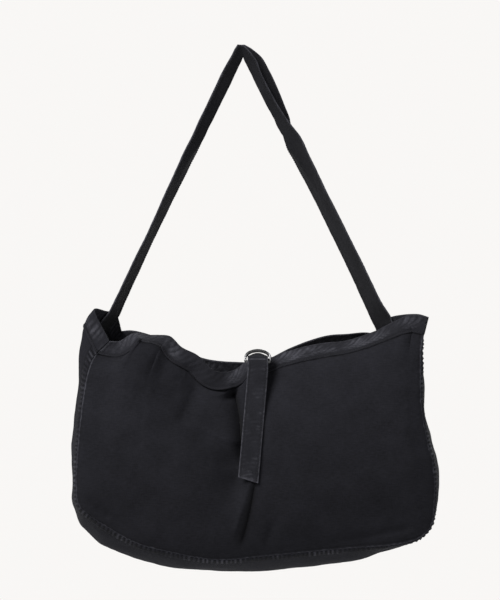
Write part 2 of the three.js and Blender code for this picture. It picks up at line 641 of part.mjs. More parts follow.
// The keeper: up the hem under the bars, round both, and down again over itself.
function keeperPath() {
  const sewn = (p) => p.down > ringSeat && p.down < keeperDrop;
  const under = offPath(frontProfile, -1, () => keeperFloor).filter(sewn);
  const floor = keeperFloor + keeperThickness + margin;
  const over = offPath(frontProfile, -1, settle(upperHeight + keeperBend, floor, keeperDrop - ringSeat)).filter(sewn);
  const flat = (p) => vec(tabX, p.point.y, p.point.z);
  return [
    ...thin(under.map(flat).reverse(), keeperSpacing),
    ...arc(lowerBar, keeperBend, offHem.clone().negate(), ringUp, 4),
    ...arc(upperBar, keeperBend, ringUp.clone().addScaledVector(ringOff, 0.3), offHem.clone().sub(uphill), 4),
    ...thin(over.map(flat), keeperSpacing).slice(1),
  ].map((point) => ({ point }));
}

// The closing strap: up the back of the mouth, over it, through both rings and down the front.
function closingPath() {
  const overHem = hemThickness / 2 + margin + tabThickness / 2;
  const backFace = offPath(backProfile, 1, () => overHem).filter((p) => p.down < tabSewn).map((p) => p.point);
  const onPanel = clothThickness / 2 + margin + tabThickness / 2;
  const tail = offPath(frontProfile, -1, settle(upperHeight + onBars, onPanel, tabSettle));
  const front = tail.filter((p) => p.down > ringSeat + tabClear && p.down < tabTail).map((p) => p.point);
  const bow = lowerBar.clone().addScaledVector(ringUp, ringRise);
  const underBow = bow.clone().add(vec(0, 0, -ringWire / 2 - 2 * gap - tabThickness / 2));
  const overRim = frontRim.clone().add(vec(0, bendSlack, hemThickness / 2 + gap + tabThickness / 2));
  const behind = underBow.clone().lerp(overRim, 0.5);
  const infront = upperBar.clone().addScaledVector(ringUp, onBars + bendSlack).lerp(underBow, 0.5);
  const path = [
    ...thin(backFace, tabSpacing).reverse(),
    ...arc(backRim, overHem, vec(0, 0.8, 0.6), vec(0, -0.35, 0.9), 3),
    overRim.clone().lerp(backRim.clone().add(vec(0, 0, overHem)), 0.4),
    overRim,
    behind,
    underBow,
    infront,
    ...arc(upperBar, onBars, ringUp.clone().addScaledVector(ringOff, 0.2), offHem.clone().addScaledVector(uphill, -0.9), 6),
    ...thin(front, tabSpacing),
  ].map((point) => ({ point }));
  const cup = (point, amount) => (path.find((row) => row.point === point).cup = amount);
  cup(behind, tabCup * 0.6);
  cup(underBow, tabCup);
  cup(infront, tabCup * 0.5);
  path[path.length - 1].slant = Math.tan(radians(tabEndSlant));
  return path;
}

function ringGeometry(bar) {
  const half = (ringWidth + ringWire) / 2;
  const straight = half - ringCorner;
  const flat = [[-straight, 0], [-half / 2, 0], [0, 0], [half / 2, 0], [straight, 0], [half, ringCorner]];
  for (const degrees of [0, 25, 45, 65, 90, 115, 135, 155, 180]) {
    const turn = radians(degrees);
    flat.push([half * Math.cos(turn), ringLeg + (ringRise - ringLeg) * Math.sin(turn)]);
  }
  flat.push([-half, ringCorner]);
  const points = flat.map(([x, up]) => bar.clone().add(vec(x, 0, 0)).addScaledVector(ringUp, up));
  return new THREE.TubeGeometry(new THREE.CatmullRomCurve3(points, true, "centripetal"), 36, ringWire / 2, 8, true);
}

const cloth = new THREE.MeshStandardMaterial({ color: 0x232329, roughness: 0.95, metalness: 0 });
const worn = new THREE.MeshStandardMaterial({ color: 0x2b2b31, roughness: 0.95, metalness: 0 });
const steel = new THREE.MeshStandardMaterial({ color: 0xb9bbbe, roughness: 0.25, metalness: 1 });

const bag = new THREE.Group();
function add(name, geometry, material) {
  const mesh = new THREE.Mesh(geometry, material);
  mesh.name = name;
  bag.add(mesh);
}

const panelRows = frontGrid.points.length - 1;
add("front_panel", wall(cut(frontGrid, hemSteps, panelRows, true), clothThickness), cloth);
add("back_panel", wall(cut(backGrid, hemSteps, panelRows, true), clothThickness), cloth);
add("gusset", wall(cut(gussetGrid, hemSteps, lastStation - hemSteps, true, true), clothThickness), cloth);
add("front_hem", wall(cut(frontGrid, 0, hemSteps, false, true), hemThickness), worn);
add("back_hem", wall(cut(backGrid, 0, hemSteps, false, true), hemThickness), worn);
add("gusset_hem_left", wall(cut(gussetHemGrid, 0, hemSteps, false, true), hemThickness), worn);
add("gusset_hem_right", wall(cut(gussetHemGrid, lastStation - hemSteps, lastStation, true), hemThickness), worn);
add("shoulder_strap", wall(grid(strapPoints()), strapThickness), worn);
add("ring_keeper", wall(bandGrid(keeperPath(), keeperWidth, 2), keeperThickness), worn);
add("ring_lower", ringGeometry(lowerBar), steel);
add("ring_upper", ringGeometry(upperBar), steel);
add("closing_strap", wall(bandGrid(closingPath(), tabWidth, 4), tabThickness), worn);

export default bag;
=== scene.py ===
# The looks of a newspaper delivery bag of washed black canvas, hanging from its shoulder strap.
# Metres, +Z up, the front panel faces -Y. The origin is where the strap is hung.
import math

import bpy
import numpy as np
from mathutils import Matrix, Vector, noise
from mathutils.bvhtree import BVHTree


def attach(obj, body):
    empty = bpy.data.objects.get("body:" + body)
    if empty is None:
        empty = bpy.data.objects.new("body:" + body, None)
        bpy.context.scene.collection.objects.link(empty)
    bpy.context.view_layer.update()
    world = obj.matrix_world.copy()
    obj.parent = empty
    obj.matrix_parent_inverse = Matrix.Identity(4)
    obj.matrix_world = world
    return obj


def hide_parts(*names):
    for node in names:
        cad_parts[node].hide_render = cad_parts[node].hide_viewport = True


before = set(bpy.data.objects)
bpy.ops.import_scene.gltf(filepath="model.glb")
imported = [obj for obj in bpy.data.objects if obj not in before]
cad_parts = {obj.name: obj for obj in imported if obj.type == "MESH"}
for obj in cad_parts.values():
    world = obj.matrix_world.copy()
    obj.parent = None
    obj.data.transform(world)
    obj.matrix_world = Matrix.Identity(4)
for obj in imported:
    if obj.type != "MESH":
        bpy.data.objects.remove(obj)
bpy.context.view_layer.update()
bpy.ops.object.select_all(action="DESELECT")

# Camera
# It stands level and far in front of the bag, so that the bag is seen almost without perspective.
# VIEW_HEIGHT is how much the picture takes in from top to bottom at the bag.
VIEW_HEIGHT = 0.81
VIEW_DISTANCE = 6.0
VIEW_MIDDLE = (0.0095, -0.3274)

camera = bpy.data.objects.new("camera", bpy.data.cameras.new("camera"))
camera.location = (VIEW_MIDDLE[0], -VIEW_DISTANCE, VIEW_MIDDLE[1])
camera.rotation_euler = (math.radians(90), 0, 0)
camera.data.lens = camera.data.sensor_width * VIEW_DISTANCE / VIEW_HEIGHT
bpy.context.scene.collection.objects.link(camera)
bpy.context.scene.camera = camera

# Studio
# A pale floor below the bag that fades into the backdrop colour, one large soft light at the upper left and
# two weak fills. The room adds a weak even light.
FLOOR_LEVEL = -1.0
FLOOR_RADIUS = 3.0
BACKDROP = (0.945, 0.93, 0.915)
# The floor starts to fade at the first share of its radius and is gone at the second.
FLOOR_FADE = (0.35, 0.95)
FLOOR_PAINT = (0.62, 0.62, 0.63)
FLOOR_SPECK = (0.69, 0.69, 0.7)
FLOOR_GRAIN = 300
LIGHTS = {
    "key light": {"place": (-2.7, -2.2, 2.8), "size": 2.4, "power": 228},
    "right fill": {"place": (2.4, -2.4, 1.4), "size": 1.8, "power": 18},
    "back fill": {"place": (1.2, 3.0, 1.2), "size": 2.0, "power": 60},
}


class Value:
    """A number that a shader works out, which can be written in a formula."""

    def __init__(self, finish, socket):
        self.finish = finish
        self.socket = socket

    def math(self, operation, first, second=0.0):
        return self.finish.node("ShaderNodeMath", {"operation": operation}, {0: first, 1: second})

    def __add__(self, other):
        return self.math("ADD", self, other)

    def __sub__(self, other):
        return self.math("SUBTRACT", self, other)

    def __mul__(self, other):
        return self.math("MULTIPLY", self, other)

    def sine(self):
        return self.math("SINE", self)

    __radd__ = __add__
    __rmul__ = __mul__


class Finish:
    """A material with its nodes. Whatever a surface looks like is written as one of these."""

    def __init__(self, name):
        self.material = bpy.data.materials.new(name)
        self.material.use_nodes = True
        self.tree = self.material.node_tree
        self.shader = self.tree.nodes["Principled BSDF"]

    def node(self, kind, settings, sockets, output=0):
        """A node with its settings, and what goes into its sockets, by number, name or identifier."""
        node = self.tree.nodes.new(kind)
        for name, value in settings.items():
            setattr(node, name, value)
        self.fill(node, sockets)
        found = [s for s in node.outputs if s.identifier == output]
        return Value(self, found[0] if found else node.outputs[output])

    def fill(self, node, sockets):
        for name, value in sockets.items():
            found = [s for s in node.inputs if s.identifier == name]
            socket = found[0] if found else node.inputs[name]
            if isinstance(value, Value):
                self.tree.links.new(value.socket, socket)
            else:
                socket.default_value = value

    def noise(self, where, scale, detail=2.0, roughness=0.5):
        sockets = {"Vector": where, "Scale": scale, "Detail": detail, "Roughness": roughness}
        return self.node("ShaderNodeTexNoise", {}, sockets)

    def scaled(self, vector, factors):
        return self.node("ShaderNodeVectorMath", {"operation": "MULTIPLY"}, {0: vector, 1: factors})

    def mix(self, factor, first, second):
        sockets = {"Factor_Float": factor, "A_Color": first, "B_Color": second}
        return self.node("ShaderNodeMix", {"data_type": "RGBA"}, sockets, "Result_Color")


bpy.ops.mesh.primitive_circle_add(
    vertices=128, radius=FLOOR_RADIUS, fill_type="NGON", location=(0, 0, FLOOR_LEVEL))
floor = bpy.context.object
floor.name = "floor"
bpy.ops.object.transform_apply(location=True)
paint = Finish("floor paint")
spot = paint.node("ShaderNodeTexCoord", {}, {}, "Object")
flat_spot = paint.scaled(spot, (1, 1, 0))
reach = paint.node("ShaderNodeVectorMath", {"operation": "LENGTH"}, {0: flat_spot}, "Value")
fade = paint.node(
    "ShaderNodeMapRange",
    {"interpolation_type": "SMOOTHSTEP"},
    {"Value": reach, "From Min": FLOOR_FADE[0] * FLOOR_RADIUS, "From Max": FLOOR_FADE[1] * FLOOR_RADIUS},
)
grain = paint.noise(spot, FLOOR_GRAIN, 3)
speckled = paint.mix(grain, (*FLOOR_PAINT, 1), (*FLOOR_SPECK, 1))
paint.fill(paint.shader, {"Base Color": speckled, "Roughness": 0.8})
haze = paint.node("ShaderNodeEmission", {}, {"Color": (*BACKDROP, 1), "Strength": 1.0})
ground = Value(paint, paint.shader.outputs[0])
faded = paint.node("ShaderNodeMixShader", {}, {0: fade, 1: ground, 2: haze})
paint.fill(paint.tree.nodes["Material Output"], {"Surface": faded})
floor.data.materials.append(paint.material)

for light_name, light in LIGHTS.items():
    lamp = bpy.data.objects.new(light_name, bpy.data.lights.new(light_name, "AREA"))
    lamp.data.size = light["size"]
    lamp.data.energy = light["power"]
    lamp.location = light["place"]
    toward = Vector((0, 0, VIEW_MIDDLE[1])) - lamp.location
    lamp.rotation_euler = toward.to_track_quat("-Z", "Y").to_euler()
    bpy.context.scene.collection.objects.link(lamp)

ROOM_LIGHT = 0.15
ROOM_COLOUR = (0.92, 0.925, 0.945)
room = bpy.data.worlds.new("room")
room.use_nodes = True
room_nodes = room.node_tree.nodes
room_sky = room_nodes["Background"]
room_sky.inputs["Color"].default_value = (*ROOM_COLOUR, 1)
seen_sky = room_nodes.new("ShaderNodeBackground")
seen_sky.inputs["Color"].default_value = (*BACKDROP, 1)
room_sky.inputs["Strength"].default_value = ROOM_LIGHT
which = room_nodes.new("ShaderNodeLightPath")
either = room_nodes.new("ShaderNodeMixShader")
room.node_tree.links.new(which.outputs["Is Camera Ray"], either.inputs[0])
room.node_tree.links.new(room_sky.outputs[0], either.inputs[1])
room.node_tree.links.new(seen_sky.outputs[0], either.inputs[2])
room.node_tree.links.new(either.outputs[0], room_nodes["World Output"].inputs["Surface"])
bpy.context.scene.world = room
bpy.context.scene.view_settings.view_transform = "Standard"

# Front and back panels
# Each is one layer of canvas, cut wider than high and sewn to the gusset along its sides and bottom. They
# stand out in the middle, and the closing strap draws them together at the mouth.
BAG_WIDTH = 0.482
BAG_HEIGHT = 0.325
BAG_DEPTH = 0.17
STRAP_DROP = 0.35
SWAY = 0.014
CLOTH = 0.0014
HEM_WIDTH = 0.025
FILL = 0.024

CANVAS_COLOUR = (0.0163, 0.0163, 0.0208)
CANVAS_WORN_AND_HIGHLIGHT = (0.06, 0.06, 0.071)


def columns(names, rows):
    """A table as one array for each of its named columns."""
    return dict(zip(names.split(), np.array(rows, float).T))


# The seams from the left corner of the mouth round the bottom to the right corner. across is a share of
# half the width, down a share of the height, depth a share of half the gusset and bulge a share of its
# whole width.
FRONT_SEAM = columns("across down depth bulge", [
    (-0.8, 0.1, -0.5, 0.04),
    (-0.885, 0.165, -0.58, 0.055),
    (-0.918, 0.225, -0.66, 0.08),
    (-0.947, 0.349, -0.76, 0.076),
    (-0.969, 0.515, -0.84, 0.07),
    (-0.982, 0.68, -0.88, 0.04),
    (-0.968, 0.765, -0.9, 0.062),
    (-0.905, 0.813, -0.9, 0.118),
    (-0.8, 0.863, -0.91, 0.155),
    (-0.65, 0.925, -0.92, 0.15),
    (-0.45, 0.965, -0.92, 0.15),
    (-0.2, 0.995, -0.92, 0.118),
    (0.03, 0.982, -0.92, 0.138),
    (0.28, 0.964, -0.92, 0.132),
    (0.55, 0.946, -0.92, 0.13),
    (0.79, 0.932, -0.91, 0.06),
    (0.915, 0.907, -0.9, 0.05),
    (0.98, 0.858, -0.9, 0.045),
    (1, 0.763, -0.89, 0.055),
    (0.995, 0.614, -0.86, 0.062),
    (0.96, 0.498, -0.8, 0.05),
    (0.934, 0.382, -0.74, 0.03),
    (0.93, 0.224, -0.64, 0.062),
    (0.94, 0.1, -0.56, 0.062),
    (0.974, 0, -0.5, 0.01),
])
BACK_SEAM = columns("across down depth", [
    (-0.745, 0.06, 0.66),
    (-0.82, 0.14, 0.74),
    (-0.88, 0.24, 0.82),
    (-0.935, 0.4, 0.86),
    (-0.965, 0.56, 0.88),
    (-0.98, 0.7, 0.9),
    (-0.962, 0.78, 0.9),
    (-0.89, 0.838, 0.9),
    (-0.76, 0.885, 0.91),
    (-0.55, 0.94, 0.92),
    (-0.2, 0.978, 0.92),
    (0.2, 0.975, 0.92),
    (0.55, 0.945, 0.92),
    (0.8, 0.905, 0.91),
    (0.925, 0.85, 0.9),
    (0.98, 0.76, 0.9),
    (0.99, 0.64, 0.89),
    (0.955, 0.48, 0.88),
    (0.91, 0.33, 0.87),
    (0.84, 0.19, 0.86),
    (0.74, 0.1, 0.84),
])
# The rows of the two tables where the bottom corners of the bag are.
FRONT_CORNERS = (7, 17)
BACK_CORNERS = (7, 14)

# The edges of the mouth between the seams. lean is how many degrees the hem tips back from upright.
FRONT_MOUTH = columns("across down depth lean", [
    (-0.745, 0.1, -0.42, 45),
    (-0.66, 0.068, -0.31, 66),
    (-0.588, 0.077, -0.28, 66),
    (-0.532, 0.077, -0.28, 60),
    (-0.465, 0.08, -0.33, 38),
    (-0.398, 0.125, -0.4, 22),
    (-0.31, 0.158, -0.46, 4),
    (-0.22, 0.22, -0.5, -8),
    (-0.15, 0.228, -0.4, 36),
    (-0.084, 0.212, -0.27, 60),
    (-0.035, 0.184, -0.18, 56),
    (0.02, 0.176, -0.15, 48),
    (0.084, 0.176, -0.14, 46),
    (0.157, 0.152, -0.15, 42),
    (0.353, 0.114, -0.2, 38),
    (0.532, 0.097, -0.24, 46),
    (0.672, 0.062, -0.28, 42),
    (0.784, 0.02, -0.36, 30),
    (0.874, -0.01, -0.45, 8),
])
BACK_MOUTH = columns("across down depth lean", [
    (-0.68, 0.058, 0.56, 22),
    (-0.476, 0.104, 0.42, 34),
    (-0.286, 0.172, 0.28, 30),
    (-0.1, 0.188, 0.16, 24),
    (0.02, 0.187, 0.13, 22),
    (0.1, 0.17, 0.15, 24),
    (0.23, 0.124, 0.22, 30),
    (0.403, 0.081, 0.32, 34),
    (0.532, 0.072, 0.42, 32),
    (0.66, 0.068, 0.64, 24),
])

# Folds as lines on the front view, from the top down. bow is how far the middle of a line lies to the right
# of its ends. push is how far the cloth moves towards the back, as a share of the depth. left and right are
# how wide the fold is on its two sides, as shares of the width, and power is 2 where it is round and 1
# where it is sharp.
FRONT_FOLDS = columns("x1 z1 x2 z2 bow push left right power", [
    (-0.131, 0.25, -0.068, 0.62, 0.027, 0.085, 0.026, 0.006, 1),
    (-0.125, 0.3, -0.1, 0.7, 0.02, 0.055, 0.06, 0.03, 2),
    (-0.02, 0.24, -0.04, 0.62, 0, 0.03, 0.1, 0.1, 2),
    (-0.014, 0.67, -0.107, 0.89, 0, -0.015, 0.014, 0.008, 1.4),
    (0.0114, 0.66, -0.0732, 0.94, 0.009, 0.019, 0.006, 0.018, 1.2),
    (-0.5, 0.24, -0.28, 0.46, 0, 0.05, 0.05, 0.06, 2),
    (-0.3, 0.3, -0.12, 0.66, 0, 0.02, 0.05, 0.03, 2),
    (-0.32, 0.3, -0.385, 0.4, 0, 0.022, 0.016, 0.03, 2),
    (-0.37, 0.435, -0.1, 0.52, 0, -0.02, 0.01, 0.008, 1.5),
    (0.1, 0.86, 0.05, 0.99, 0, 0.016, 0.012, 0.02, 2),
    (0.42, 0.935, 0.86, 0.87, 0, 0.035, 0.012, 0.012, 2),
    (-0.9, 0.77, -0.82, 0.82, 0, 0.03, 0.012, 0.012, 2),
    (-0.846, 0.778, -0.629, 0.915, 0, 0.02, 0.016, 0.016, 2),
])
BACK_FOLDS = columns("x1 z1 x2 z2 bow push left right power", [
    (0, 0.22, 0.06, 0.72, 0, -0.09, 0.11, 0.11, 2),
    (-0.5, 0.25, -0.2, 0.62, 0, -0.035, 0.06, 0.06, 2),
    (0.62, 0.2, 0.34, 0.6, 0, -0.035, 0.05, 0.05, 2),
    (-0.05, 0.6, -0.16, 0.96, 0, -0.02, 0.03, 0.045, 2),
    (0.3, 0.3, 0.24, 0.6, 0, -0.02, 0.02, 0.05, 2),
])


def smooth(x):
    x = np.clip(x, 0, 1)
    return x * x * (3 - 2 * x)


def lerp(a, b, t):
    return a + (b - a) * t


def unit(vectors):
    return vectors / np.maximum(np.linalg.norm(vectors, axis=-1, keepdims=True), 1e-12)


def place(rows):
    """The rows of a table as points of the hanging bag."""
    x = SWAY + rows["across"] * BAG_WIDTH / 2
    y = rows["depth"] * BAG_DEPTH / 2
    return np.stack([x, y, -STRAP_DROP - rows["down"] * BAG_HEIGHT], 1)


def column_at(column, t):
    """The value of a table's column part of the way through it, where t runs from 0 to 1."""
    at = np.clip(t, 0, 1) * (len(column) - 1)
    row = np.minimum(at.astype(int), len(column) - 2)
    return lerp(column[row], column[row + 1], smooth(at - row))


class Curve:
    """A smooth line through points. It is read by row, with t from 0 to 1, or by share of its length."""

    def __init__(self, points):
        self.knots = np.asarray(points, float)
        self.spans = len(self.knots) - 1
        self.fine = np.linspace(0, 1, 40 * self.spans + 1)
        steps = np.linalg.norm(np.diff(self.at(self.fine), axis=0), axis=1)
        self.run = np.concatenate([[0], np.cumsum(steps)])
        self.length = self.run[-1]

    def at(self, t):
        ends = [2 * self.knots[0] - self.knots[1]], [2 * self.knots[-1] - self.knots[-2]]
        knots = np.concatenate([ends[0], self.knots, ends[1]])
        where = np.clip(np.atleast_1d(t), 0, 1) * self.spans
        row = np.minimum(where.astype(int), self.spans - 1)
        a, b, c, d = (knots[row + i] for i in range(4))
        ab, bc, cd = (np.sqrt(np.linalg.norm(q - p, axis=1))[:, None] for p, q in ((a, b), (b, c), (c, d)))
        start = ((b - a) / ab - (c - a) / (ab + bc) + (c - b) / bc) * bc
        end = ((c - b) / bc - (d - b) / (bc + cd) + (d - c) / cd) * bc
        w = (where - row)[:, None]
        return b + start * w + (3 * (c - b) - 2 * start - end) * w**2 + (2 * (b - c) + start + end) * w**3

    def row_of(self, share):
        return np.interp(np.asarray(share) * self.length, self.run, self.fine)

    def share_of(self, t):
        return np.interp(t, self.fine, self.run) / self.length

    def along(self, share):
        return self.at(self.row_of(share))


class Seam:
    """A seam's line with the shares of its length where the hem ends and where its two bottom corners lie."""

    def __init__(self, rows, corners):
        self.curve = Curve(place(rows))
        self.hem = HEM_WIDTH / self.curve.length
        self.left, self.right = (float(self.curve.share_of(c / self.curve.spans)) for c in corners)

    def side(self, hem, body, right=False):
        """Points down one side of the bag: shares of the hem's width, then of the way to the corner."""
        corner = 1 - self.right if right else self.left
        stretch = np.concatenate([self.hem * hem, lerp(self.hem, corner, body)])
        return self.curve.along(1 - stretch if right else stretch)

    def bottom(self, across):
        return self.curve.along(lerp(self.left, self.right, across))


def fold_push(folds, points):
    """How far the folds of a table push the cloth towards the back, at each point of a grid."""
    total = np.zeros(points.shape[:2])
    for x1, z1, x2, z2, bow, push, left, right, power in zip(*folds.values()):
        start = np.array([SWAY + x1 * BAG_WIDTH / 2, -STRAP_DROP - z1 * BAG_HEIGHT])
        line = np.array([SWAY + x2 * BAG_WIDTH / 2, -STRAP_DROP - z2 * BAG_HEIGHT]) - start
        away = points[..., ::2] - start
        share = np.clip(away @ line / (line @ line), 0, 1)
        off = away - share[..., None] * line
        off[..., 0] -= bow * BAG_WIDTH / 2 * 4 * share * (1 - share)
        spread = np.where(off[..., 0] < 0, left, right) * BAG_WIDTH
        # A sharp fold dies out towards both of its ends.
        taper = 1 - (2 - power) * np.abs(2 * share - 1) ** 6
        reach = np.hypot(off[..., 0] / spread, off[..., 1] / ((left + right) / 2 * BAG_WIDTH))
        total += push * BAG_DEPTH * taper * np.exp(-(reach**power))
    return total


# How pale the ridge of a sharp fold is painted, as rubbed wear and highlight together, and how wide the
# painted shade of its crease is.
RIDGE_RUB_AND_HIGHLIGHT = 0.3
CREASE = 0.007


def fold_rub_and_painted_light(folds, points):
    """Painted shade in the bottom of the sharp folds of a table, and a pale line on their ridges that is
    rubbed threads and painted highlight together.
    """
    sharp = folds["power"] < 2
    creases = {name: column[sharp] for name, column in folds.items()}
    creases["push"] = (2 - creases["power"]) * np.where(creases["push"] > 0, -1, RIDGE_RUB_AND_HIGHLIGHT) / BAG_DEPTH
    creases["left"] = creases["push"] * 0 + CREASE / BAG_WIDTH
    creases["right"] = creases["left"] / 2
    return fold_push(creases, points)


# Close to the seams the hem follows them, within two of this many steps across.
SEAM_PULL = 32
# The short waves of the mouth are evened out over this share of the width, and gone this far below the hem.
WAVE_REACH = 0.12
WAVE_DEPTH = 0.055
# The folds have this share of their depth at the hem, and all of it this far below.
FOLD_AT_HEM = 0.3
FOLD_START = 0.03


def panel_points(seam, mouth, folds, side, across, hem, body):
    """The middle of a panel: rows down its hem and on to the bottom seam, columns from left to right."""
    left, right = seam.side(hem, body), seam.side(hem, body, right=True)
    ends, nothing = np.array([0, 1.0]), np.array([])
    corner_left, corner_right = seam.side(ends, nothing), seam.side(ends, nothing, right=True)
    rim_curve = Curve(np.concatenate([corner_left[:1], place(mouth), corner_right[:1]]))
    rim = rim_curve.along(across)
    leans = np.concatenate([mouth["lean"][:1], mouth["lean"], mouth["lean"][-1:]])
    lean = np.radians(column_at(leans, rim_curve.row_of(across)))
    along = unit(rim_curve.along(across + 1e-4) - rim_curve.along(across - 1e-4))
    drop = np.stack([np.zeros_like(lean), side * np.sin(lean), -np.cos(lean)], 1)
    drop = unit(drop - along * (drop * along).sum(1)[:, None])
    at_left, at_right = unit(corner_left[1] - corner_left[0]), unit(corner_right[1] - corner_right[0])
    at_seam = np.where(across[:, None] < 0.5, at_left, at_right)
    near = 1 - smooth(np.minimum(across, 1 - across) * SEAM_PULL / 2)
    drop = unit(lerp(drop, at_seam, near[:, None])) * HEM_WIDTH
    hem_points = rim[None] + drop[None] * hem[:, None, None]
    top, bottom = rim + drop, seam.bottom(across)
    u, v = across[None, :, None], body[:, None, None]
    sides = lerp(left[len(hem):, None], right[len(hem):, None], u)
    top_line, bottom_line = lerp(top[0], top[-1], u[0]), lerp(bottom[0], bottom[-1], u[0])
    points = sides + lerp(top, bottom, v) - lerp(top_line, bottom_line, v)
    u, v = u[..., 0], v[..., 0]
    # The shape of the mouth's edge dies out soon below it, its short waves first.
    waves = top - top_line
    points[..., 1] += waves[:, 1] * ((1 - v) ** 3 - (1 - v))
    spans = np.arange(-30, 31) / 30
    weights = np.exp(-((2 * spans) ** 2))
    wide = np.stack([
        [np.interp(across + s * WAVE_REACH, across, waves[:, i]) for i in range(3)] for s in spans])
    calm = np.einsum("s,sic->ci", weights / weights.sum(), wide)
    calm -= lerp(calm[0], calm[-1], across[:, None])
    fade = ((1 - v) ** 3)[..., None] * smooth(v * BAG_HEIGHT / WAVE_DEPTH)[..., None]
    points += (calm - waves) * fade
    points[..., 1] += side * FILL * (4 * u * (1 - u)) ** 0.6 * (4 * v * (1 - v)) ** 0.75
    inside = smooth(np.minimum(u, 1 - u) * 8) * smooth((1 - v) * 7)
    inside = inside * lerp(FOLD_AT_HEM, 1, smooth(v * BAG_HEIGHT / FOLD_START))
    points[..., 1] += inside * fold_push(folds, points)
    return np.concatenate([hem_points, points])


def ripple(run, pitch, phase=0.0, wander=1.0):
    """Gathers along stitching, from 0 to 1. run is the distance along it, wander how uneven they are."""
    turn = 2 * np.pi * run / pitch
    drift = wander * (1.4 * np.sin(turn / 5.3 + phase) + 0.9 * np.sin(turn / 2.7 + 2 * phase + 1))
    swell = 0.35 * wander * (np.sin(turn / 3.9 + 3 * phase) - 1)
    return (0.5 + 0.5 * np.sin(turn + drift)) * (1 + swell)


def uneven(points, size, seed):
    """Soft unevenness, from about -1 to 1, with features of the given size."""
    shift = Vector((seed, seed, 0))
    found = [noise.fractal(Vector(p) / size + shift, 1, 2, 3) for p in points.reshape(-1, 3)]
    return np.array(found).reshape(points.shape[:-1])


def near_line(distance, width):
    return np.exp(-((distance / width) ** 2))


class Cloth:
    """A grid of points on the middle of a cloth, with the distances along it and its outward normals."""

    def __init__(self, points, outward=1):
        self.outward = outward
        self.points = points
        self.measure()
        self.grain = np.stack([self.across, -self.down], -1)

    def measure(self):
        def run(axis):
            steps = np.linalg.norm(np.diff(self.points, axis=axis), axis=-1)
            start = np.zeros_like(np.take(steps, [0], axis=axis))
            return np.concatenate([start, np.cumsum(steps, axis=axis)], axis=axis)

        self.down, self.across = run(0), run(1)
        self.left, self.right = self.across, self.across[:, -1:] - self.across
        self.top, self.bottom = self.down, self.down[-1:] - self.down
        downward, sideways = np.gradient(self.points, axis=0), np.gradient(self.points, axis=1)
        self.normals = self.outward * unit(np.cross(downward, sideways))

    def push(self, distance):
        """Moves the cloth along its normals."""
        self.points = self.points + self.normals * distance[..., None]
        self.measure()

    def edge(self):
        """The distance to the nearest edge."""
        return np.minimum(np.minimum(self.left, self.right), np.minimum(self.top, self.bottom))

    def inset(self, edge, distance, lift):
        """The line at a distance from one edge, lifted off the middle of the cloth, and its normals."""
        run = getattr(self, edge)
        grids = [run, self.points, self.normals]
        if edge in ("left", "right"):
            grids = [g.swapaxes(0, 1) for g in grids]
        if edge in ("bottom", "right"):
            grids = [g[::-1] for g in grids]
        run, points, normals = grids
        low = np.clip((run < distance).sum(0) - 1, 0, len(run) - 2)
        k = np.arange(run.shape[1])
        share = ((distance - run[low, k]) / np.maximum(run[low + 1, k] - run[low, k], 1e-9))[:, None]
        normal = unit(lerp(normals[low, k], normals[low + 1, k], share)) * np.sign(lift)
        return lerp(points[low, k], points[low + 1, k], share) + normal * abs(lift), normal


def finish_piece(piece, material, replaced):
    """Gives a piece its material, smooth faces and place in the frame."""
    piece.data.materials.append(material)
    piece.data.shade_smooth()
    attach(piece, "root")
    if replaced:
        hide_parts(*replaced)
    return piece


def sew(name, cloth, thickness, wear_and_painted_light, material, replaced=(), roll=1.0, inner_painted_light=0.0):
    """A closed sheet round the middle of a cloth, with rolled edges, its UV map in metres and its rubbed
    places and painted light.
    Its last argument is how much paler its inner face is painted, as painted light."""
    half = thickness / 2
    near = np.clip(cloth.edge() / (half * roll), 0, 1)
    offset = cloth.normals * (half * np.sqrt(1 - (1 - near) ** 2))[..., None]
    rows, across = near.shape
    outer = np.arange(rows * across).reshape(rows, across)
    inner = outer.copy()
    inner[1:-1, 1:-1] = rows * across + np.arange((rows - 2) * (across - 2)).reshape(rows - 2, across - 2)
    outer_face, inner_face = cloth.points + offset, (cloth.points - offset)[1:-1, 1:-1]
    points = np.concatenate([outer_face.reshape(-1, 3), inner_face.reshape(-1, 3)])
    if cloth.outward < 0:
        outer, inner = inner, outer
    quads = []
    for index, turned in ((outer, False), (inner, True)):
        corners = [index[:-1, :-1], index[1:, :-1], index[1:, 1:], index[:-1, 1:]]
        quads.append(np.stack(corners[::-1] if turned else corners, -1).reshape(-1, 4))
    quads = np.concatenate(quads)
    mesh = bpy.data.meshes.new(name)
    mesh.from_pydata(points.tolist(), [], quads.tolist())
    both = np.concatenate([cloth.grain.reshape(-1, 2), cloth.grain[1:-1, 1:-1].reshape(-1, 2)])
    corner_uv = both[quads.reshape(-1)].astype(np.float32)
    mesh.uv_layers.new(name="cloth").data.foreach_set("uv", corner_uv.reshape(-1))
    worn_and_painted_light = np.concatenate([wear_and_painted_light.reshape(-1), wear_and_painted_light[1:-1, 1:-1].reshape(-1) + inner_painted_light])
    mesh.attributes.new("wear_and_painted_light", "FLOAT", "POINT").data.foreach_set("value", worn_and_painted_light.astype(np.float32))
    piece = bpy.data.objects.new(name, mesh)
    bpy.context.scene.collection.objects.link(piece)
    return finish_piece(piece, material, replaced)


# The pitch of the canvas's threads, and how deep its weave is.
WEAVE = 0.0006
WEAVE_DEPTH = 0.00022
# How many of each there are to a metre: slubs and ribs both ways of the cloth, specks, blotches and rubbed
# places.
SLUBS = (130, 680, 1)
RIBS = (700, 150, 1)
SPECKS = 1300
BLOTCHES = 26
RUBBED = 190
# The share of its tone that is left under the darkest painted shade, in the deepest groove.
PAINTED_GROOVE_SHADE = 0.25


